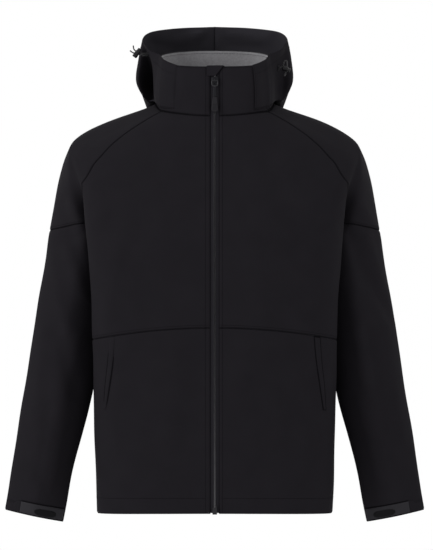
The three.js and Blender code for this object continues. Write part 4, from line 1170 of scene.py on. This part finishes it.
def zip_pieces():
    tape_piece("left", (TAPE_INNER, TAPE_OUTER), (-0.9, -2.9))
    tape_piece("right", (-TAPE_OUTER, -TAPE_INNER), (-2.9, -0.9))
    belongs(zip_chain(), "zip", "zip_chain")
    bottom = zip_frame(STOP_BOTTOM)
    stop = plate("zip_stop_box", rounded([(-4.2, 0), (4.2, 0), (3.6, 13), (-3.6, 13)], 1.2), 2.8,
                 0.1, 0.7, TEETH, bottom)
    pin = plate("zip_stop_pin", rounded([(0.7, 12), (3.2, 12), (3.0, 17), (0.9, 17)], 0.8), 2.2,
                0.1, 0.6, TEETH, bottom)
    belongs(join("zip_stop_box", [stop, pin]), "zip", "zip_stop")


def slider_piece():
    place = zip_frame(HINGE_Z)
    body = plate("slider_body", rounded([(-4.4, -8), (4.4, -8), (5.4, -3), (6, 1.5), (5, 7),
                                         (-5, 7), (-6, 1.5), (-5.4, -3)], 1.6), 2.4, 0.9, 0.9,
                 METAL, place)
    back = plate("slider_back", rounded([(-4.2, -7.6), (4.2, -7.6), (5.6, 1), (4.6, 6.6),
                                         (-4.6, 6.6), (-5.6, 1)], 1.6), 1.0, -1.0, 0.4, METAL,
                 place)
    arch = [(0, y, 3.0 + 4.0 * math.sqrt(max(0, 1 - (y / 5.0) ** 2)))
            for y in np.linspace(-5, 5, 13)]
    bridge, _, _ = tube("slider_bridge", on_zip(place, arch), 0.95, METAL, 12, 4)
    belongs(join("slider_body", [body, back, bridge]), "metal", "zip_slider")


def pull_pieces():
    place = zip_frame(HINGE_Z)
    loop = plate("pull_link", rounded([(-5, 0.8), (-6, -1.4), (-6, -8.6), (-2, -10.9), (2, -10.9),
                                       (6, -8.6), (6, -1.4), (5, 0.8)], 2.0), 1.6,
                 HINGE_LIFT - 0.8, 0.6, BARE_METAL, place,
                 [rounded([(-4.4, -0.8), (4.4, -0.8), (4.4, -7.6), (2, -8.6), (-2, -8.6),
                           (-4.4, -7.6)], 1.4)])
    shank = plate("pull_shank", rounded([(-1.9, -10.4), (-3.1, -28.6), (3.1, -28.6),
                                         (1.9, -10.4)], 0.6), 1.5, HINGE_LIFT - 0.75, 0.5, METAL,
                  place)
    belongs(join("pull_link", [loop, shank]), "metal", "zip_link", body="pull")
    tip = [(PULL_HALF * math.cos(a), PULL_TIP - PULL_HALF * math.sin(a))
           for a in np.linspace(0, math.pi, 15)]
    tab = plate("pull_tab", [(3.6, -29.4), (4.3, -36), *tip, (-4.3, -36), (-3.6, -29.4)], 3.4,
                HINGE_LIFT - 1.7, 1.1, RUBBER, place)
    ribs = [plate("pull_rib", rounded([(-half, y), (half, y), (half, y + 1.1), (-half, y + 1.1)],
                                      0.5), 0.9, HINGE_LIFT + 1.4, 0.3, RUBBER, place)
            for y, half in ((-52, 4), (-49, 4), (-46, 3.8), (-43, 3.5))]
    belongs(join("pull_tab", [tab, *ribs]), "moulded", "zip_pull", body="pull")


def garage_piece():
    """The flap over the top of the zip, and a dark sheet under it: painted shadow past its edge."""
    place = zip_frame(GARAGE_Z)
    flap = plate("zip_garage_flap", rounded([(-14, 0), (1, 0), (16, 19), (-14, 19)], 1.6),
                 GARAGE_THICK, 0.9, 0.6, SHELL, place)
    # Almost black sheet a little past the flap's slanted edge: painted shadow of the flap.
    under = plate("garage_flap_shadow", rounded([(-13, 0.4), (3.4, 0.4), (18, 18.6), (-13, 18.6)], 1.0),
                  0.5, 0.35, 0.2, PAINTED_SHADE_AND_TACK, place)
    belongs(under, "shell")
    belongs(flap, "shell", "zip_garage")


zip_pieces()
slider_piece()
pull_pieces()
garage_piece()


# Small pieces on the panels
def points_on(place, rows, columns):
    """Grid of points on the cloth, where place(u, v) gives one at two shares of the way."""
    return np.array([[place(u, v) for v in np.linspace(0, 1, columns)]
                     for u in np.linspace(0, 1, rows)])


def patch(name, grid, thick, lift, used, crown=0.45):
    """A closed piece over points on the cloth, with its border rounded down."""
    out = unit(grid_normals(grid))
    close = edge_closeness(grid, reach=PATCH_ROLL)
    upper = grid + out * (lift + thick * (1 - crown * close))[..., None]
    return shell_of(name, upper, grid + out * lift, [used])


def onto_folds(points, outward):
    """Points of the plain form, moved onto the folded cloth."""
    return points + outward * relief(points, outward)[..., None]


welt_at = track([[-row, *edges] for row, *edges in WELT])


def on_skirt(u, x):
    """Point of the left lower front at a share of its height and a distance from the middle."""
    line = torso_section(mix(HEM_ROW, WAIST_ROW, u))
    ahead = line.points[:ARC_STEPS + 1]
    length = np.interp(x, ahead[:, 0], line.lengths[:ARC_STEPS + 1])
    point, side = line.at(length + np.array([0, TURN_STEP]))
    out = unit(np.cross(side - point, [0, 0, 1.0]))
    return onto_folds(point, out)


def welt_place(u, v, margin=0.0):
    """Point of the left pocket welt, or of its place made wider by a margin."""
    row = mix(WELT[-1][0], WELT[0][0], u)
    front, back = welt_at(-row)
    return on_skirt(row / SKIRT_ROWS, mix(front - margin, back + margin, v))


def on_sleeve(row, column):
    """Point of the left lower sleeve at a row and column of the coarse grid of the CAD."""
    ring = sleeve_ring(1 - row / SLEEVE_ROWS)
    length = column / SLEEVE_COLUMNS * ring.length
    point, side = ring.at(length + np.array([0, TURN_STEP]))
    above = sleeve_ring(1 - (row + SMALL_SHARE) / SLEEVE_ROWS).at(np.array([length]))[0]
    out = unit(np.cross(side - point, above - point))
    return onto_folds(point, out)


def tab_place(u, v):
    """Point of the left cuff tab, which is rounded over the last tenth of its length."""
    into_end = max(0, 1 - (1 - v) / 0.1)
    rounding = math.sqrt(1 - 0.8 * into_end ** 2)
    middle = (TAB["low"] + TAB["high"]) / 2
    return on_sleeve(middle + (u - 0.5) * (TAB["high"] - TAB["low"]) * rounding,
                     mix(TAB["start"], TAB["end"], v))


def grip_place(u, v):
    """Point of the moulded grip on that tab, with bowed ends."""
    bow = max(0.2, (1 - (2 * v - 1) ** 4) ** 0.5)
    return on_sleeve(GRIP["middle"] + (2 * u - 1) * GRIP["half"] * bow,
                     mix(GRIP["start"], GRIP["end"], v))


def both_sides(name, piece, slot, node_name, grid=None):
    """Keeps a piece as the left one and adds its mirror image as the right one.

    With a grid, the flat size and area of its cut are worked out for each and left unused.
    """
    piece.name = name + "_left"
    mesh = piece.data.copy()
    flip_over(mesh)
    other = add(name + "_right", mesh)
    for side, made in (("_left", piece), ("_right", other)):
        belongs(made, slot, *([node_name + side] if node_name else []))
        if grid is not None:
            flat, area = cut_of(grid)


def small_pieces():
    thick, lift = TAB["thick"], TAB["lift"]
    grid = points_on(welt_place, 60, 9)
    both_sides("pocket_welt_cloth", patch("welt", grid, 1.2, 0.4, SHELL), "shell", "pocket_welt",
               grid)
    # Almost black sheet a little longer and wider than each welt: painted shadow in the pocket's
    # opening.
    welt_shadow = points_on(lambda u, v: welt_place(mix(-0.015, 1.015, u), v, 1.6), 60, 9)
    both_sides("pocket_welt_shadow", patch("welt_shadow", welt_shadow, 0.3, 0.0, PAINTED_SHADE_AND_TACK, 0.0), "tape", "")
    # The bar tack takes the same almost black colour as the painted shade.
    bar = patch("pocket_bar_right",
                points_on(lambda u, v: on_skirt(BAR_SHARE + u * 0.007, mix(187, 191.5, v)), 5, 5),
                0.8, 0.5, PAINTED_SHADE_AND_TACK)
    flip_over(bar.data)
    belongs(bar, "shell")
    # The tab's end, past TAB_LIT, is in the darker shell cloth as painted shade.
    lit = points_on(lambda u, v: tab_place(u, v * TAB_LIT), 14, 54)
    end = points_on(lambda u, v: tab_place(u, mix(TAB_LIT + 0.004, 1, v)), 14, 10)
    tab = join("tab", [patch("tab", lit, thick, lift, TAB_CLOTH),
                       patch("end", end, thick - 0.1, lift, SHELL)])
    both_sides("cuff_tab_cloth", tab, "shell", "cuff_tab", points_on(tab_place, 14, 60))
    # Almost black sheet under each tab, reaching above it: painted shadow of the tab.
    shade = points_on(lambda u, v: tab_place(mix(-0.05, 1.12, u), mix(-0.01, TAB_LIT, v)), 10, 50)
    both_sides("cuff_tab_shade", patch("shade", shade, 0.3, 0.05, PAINTED_SHADE_AND_TACK, 0.0), "shell", "")
    grip = patch("grip", points_on(grip_place, 14, 40), GRIP["thick"], lift + thick, DARK_RUBBER)
    both_sides("cuff_grip_moulding", grip, "moulded", "cuff_grip")


small_pieces()


def eyelet_piece(side):
    """A metal ring on the hood where the cords come out."""
    strands = [points for name, points in CORDS.items() if side in name]
    start = np.mean([points[0] for points in strands], axis=0)
    outer, outward = surfaces["hood_" + side]
    gap = np.linalg.norm(outer - start, axis=-1)
    r, c = np.unravel_index(gap.argmin(), gap.shape)
    out = outward[r, c]
    foot = start - out * ((start - outer[r, c]) @ out)
    profile = [(3.1, 0), (4.8, 0), (4.8, 0.5), (4.4, 1.0), (3.7, 1.15), (3.2, 0.9), (3.1, 0)]
    piece = lathe("eyelet_ring_" + side, profile, foot + out * 0.2, out, METAL)
    belongs(piece, "metal", "eyelet_" + side)


for lock_side in LOCKS:
    eyelet_piece(lock_side)


# Stitches: small capsules along the seams, all in one mesh. A stitch has a point at each end and
# two rings of four points between them. Distances of the rows from the borders are in mm.
STITCH = {"pitch": 3.0, "length": 2.5, "radius": 0.34, "lift": 0.05, "sink": 0.6}
STITCH_POINTS = 10
PLACKET = {"_left": 6.2, "_right": 9.2}
HEM_ROW_AT = 28.0
CUFF_ROWS_AT = (17.0, 19.5)
UNDER_ARM_POINTS = 34
stitch_vertices = []


def stitch_run(points, outward):
    """A row of stitches along a line of points."""
    line = Line(points)
    if line.length < STITCH["pitch"]:
        return
    starts = np.arange(0, line.length - STITCH["length"], STITCH["pitch"])
    a = line.at(starts)
    b = line.at(starts + STITCH["length"])
    way = unit(b - a)
    out = np.stack([np.interp(starts, line.lengths, outward[:, k]) for k in range(3)], axis=-1)
    side = unit(np.cross(way, out))
    out = np.cross(side, way)
    radius = STITCH["radius"]
    sink = out * radius * STITCH["sink"]
    rows = [a - sink]
    for share in (0.22, 0.78):
        spot = mix(a, b, share) + out * STITCH["lift"]
        rows += [spot + side * radius, spot + out * radius, spot - side * radius,
                 spot - out * radius]
    rows.append(b - sink)
    stitch_vertices.append(np.stack(rows, axis=1))


def beside(name, side, distance, skip=0):
    """Line of points on a panel at a distance from one of its borders, and the way out there."""
    outer, outward = surfaces[name]
    gap = border_gap(outer, side)
    if side in ("low", "high"):
        outer, outward, gap = outer.transpose(1, 0, 2), outward.transpose(1, 0, 2), gap.T
    points, ways = [], []
    for row, way, lengths in zip(outer, outward, gap):
        order = np.argsort(lengths)
        points.append([np.interp(distance, lengths[order], row[order, k]) for k in range(3)])
        ways.append([np.interp(distance, lengths[order], way[order, k]) for k in range(3)])
    end = len(points) - skip
    return np.array(points)[skip:end], np.array(ways)[skip:end]


def sew(name, side, *distances, skip=0):
    for distance in distances:
        stitch_run(*beside(name, side, distance, skip))


def stitching():
    for s, zip_side, outer_side in (("_left", "first", "last"), ("_right", "last", "first")):
        sew("front_upper" + s, zip_side, PLACKET[s])
        sew("front_lower" + s, zip_side, PLACKET[s])
        sew("front_upper" + s, "low", 2.0, 5.6)
        sew("front_lower" + s, "low", HEM_ROW_AT)
        sew("front_upper" + s, outer_side, 2.2, skip=UNDER_ARM_POINTS)
        sew("sleeve_upper" + s, "low", 2.2, 5.2)
        sew("sleeve_upper" + s, zip_side, 2.0)
        sew("sleeve_upper" + s, outer_side, 2.0)
        sew("sleeve_lower" + s, "low", *CUFF_ROWS_AT)
        sew("hood" + s, "high", 18.0)
        sew("hood" + s, "low", 3.0)
        sew("hood" + s, outer_side, 3.0)
    sew("hood_left", "first", 2.5)
    sew("back", "low", HEM_ROW_AT)
    sew("collar", "high", 3.0)
    sew("collar", "low", 2.2)
    sew("collar", "first", PLACKET["_left"])
    sew("collar", "last", PLACKET["_right"])
    points, ways = beside("collar_lining", "high", 5.0)
    stitch_run(points - ways * (LINING + 0.05), -ways)
    vertices = np.vstack(stitch_vertices).reshape(-1, 3)
    template = []
    for k in range(4):
        nxt = (k + 1) % 4
        template += [[0, 1 + nxt, 1 + k, 1 + k], [1 + k, 1 + nxt, 5 + nxt, 5 + k],
                     [9, 5 + k, 5 + nxt, 5 + nxt]]
    faces = []
    for base in range(0, len(vertices), STITCH_POINTS):
        faces += [[base + i for i in dict.fromkeys(face)] for face in template]
    belongs(mesh_piece("stitching", vertices, faces, [THREAD]), "shell")


stitching()


# Floor and lights
def area_light(name, place, size, power):
    data = bpy.data.lights.new(name, "AREA")
    data.size = size
    data.energy = power
    lamp = add(name, data)
    lamp.location = place
    way = Vector(LIT_POINT) - Vector(place)
    lamp.rotation_euler = way.to_track_quat("-Z", "Y").to_euler()


def stage():
    corners = [(-3000, -2500, FLOOR_Z), (3000, -2500, FLOOR_Z), (3000, 3000, FLOOR_Z),
               (-3000, 3000, FLOOR_Z)]
    floor = mesh_piece("floor", corners, [[0, 1, 2, 3]],
                       [material("floor", (0.82, 0.82, 0.82), 0.9)[0]])
    world = bpy.data.worlds.new("studio")
    bpy.context.scene.world = world
    world.use_nodes = True
    sky = world.node_tree.nodes["Background"]
    sky.inputs["Color"].default_value = (1, 1, 1, 1)
    sky.inputs["Strength"].default_value = 1.0
    for light in LIGHTS:
        area_light(*light)
    bpy.context.scene.view_settings.view_transform = "Standard"


stage()
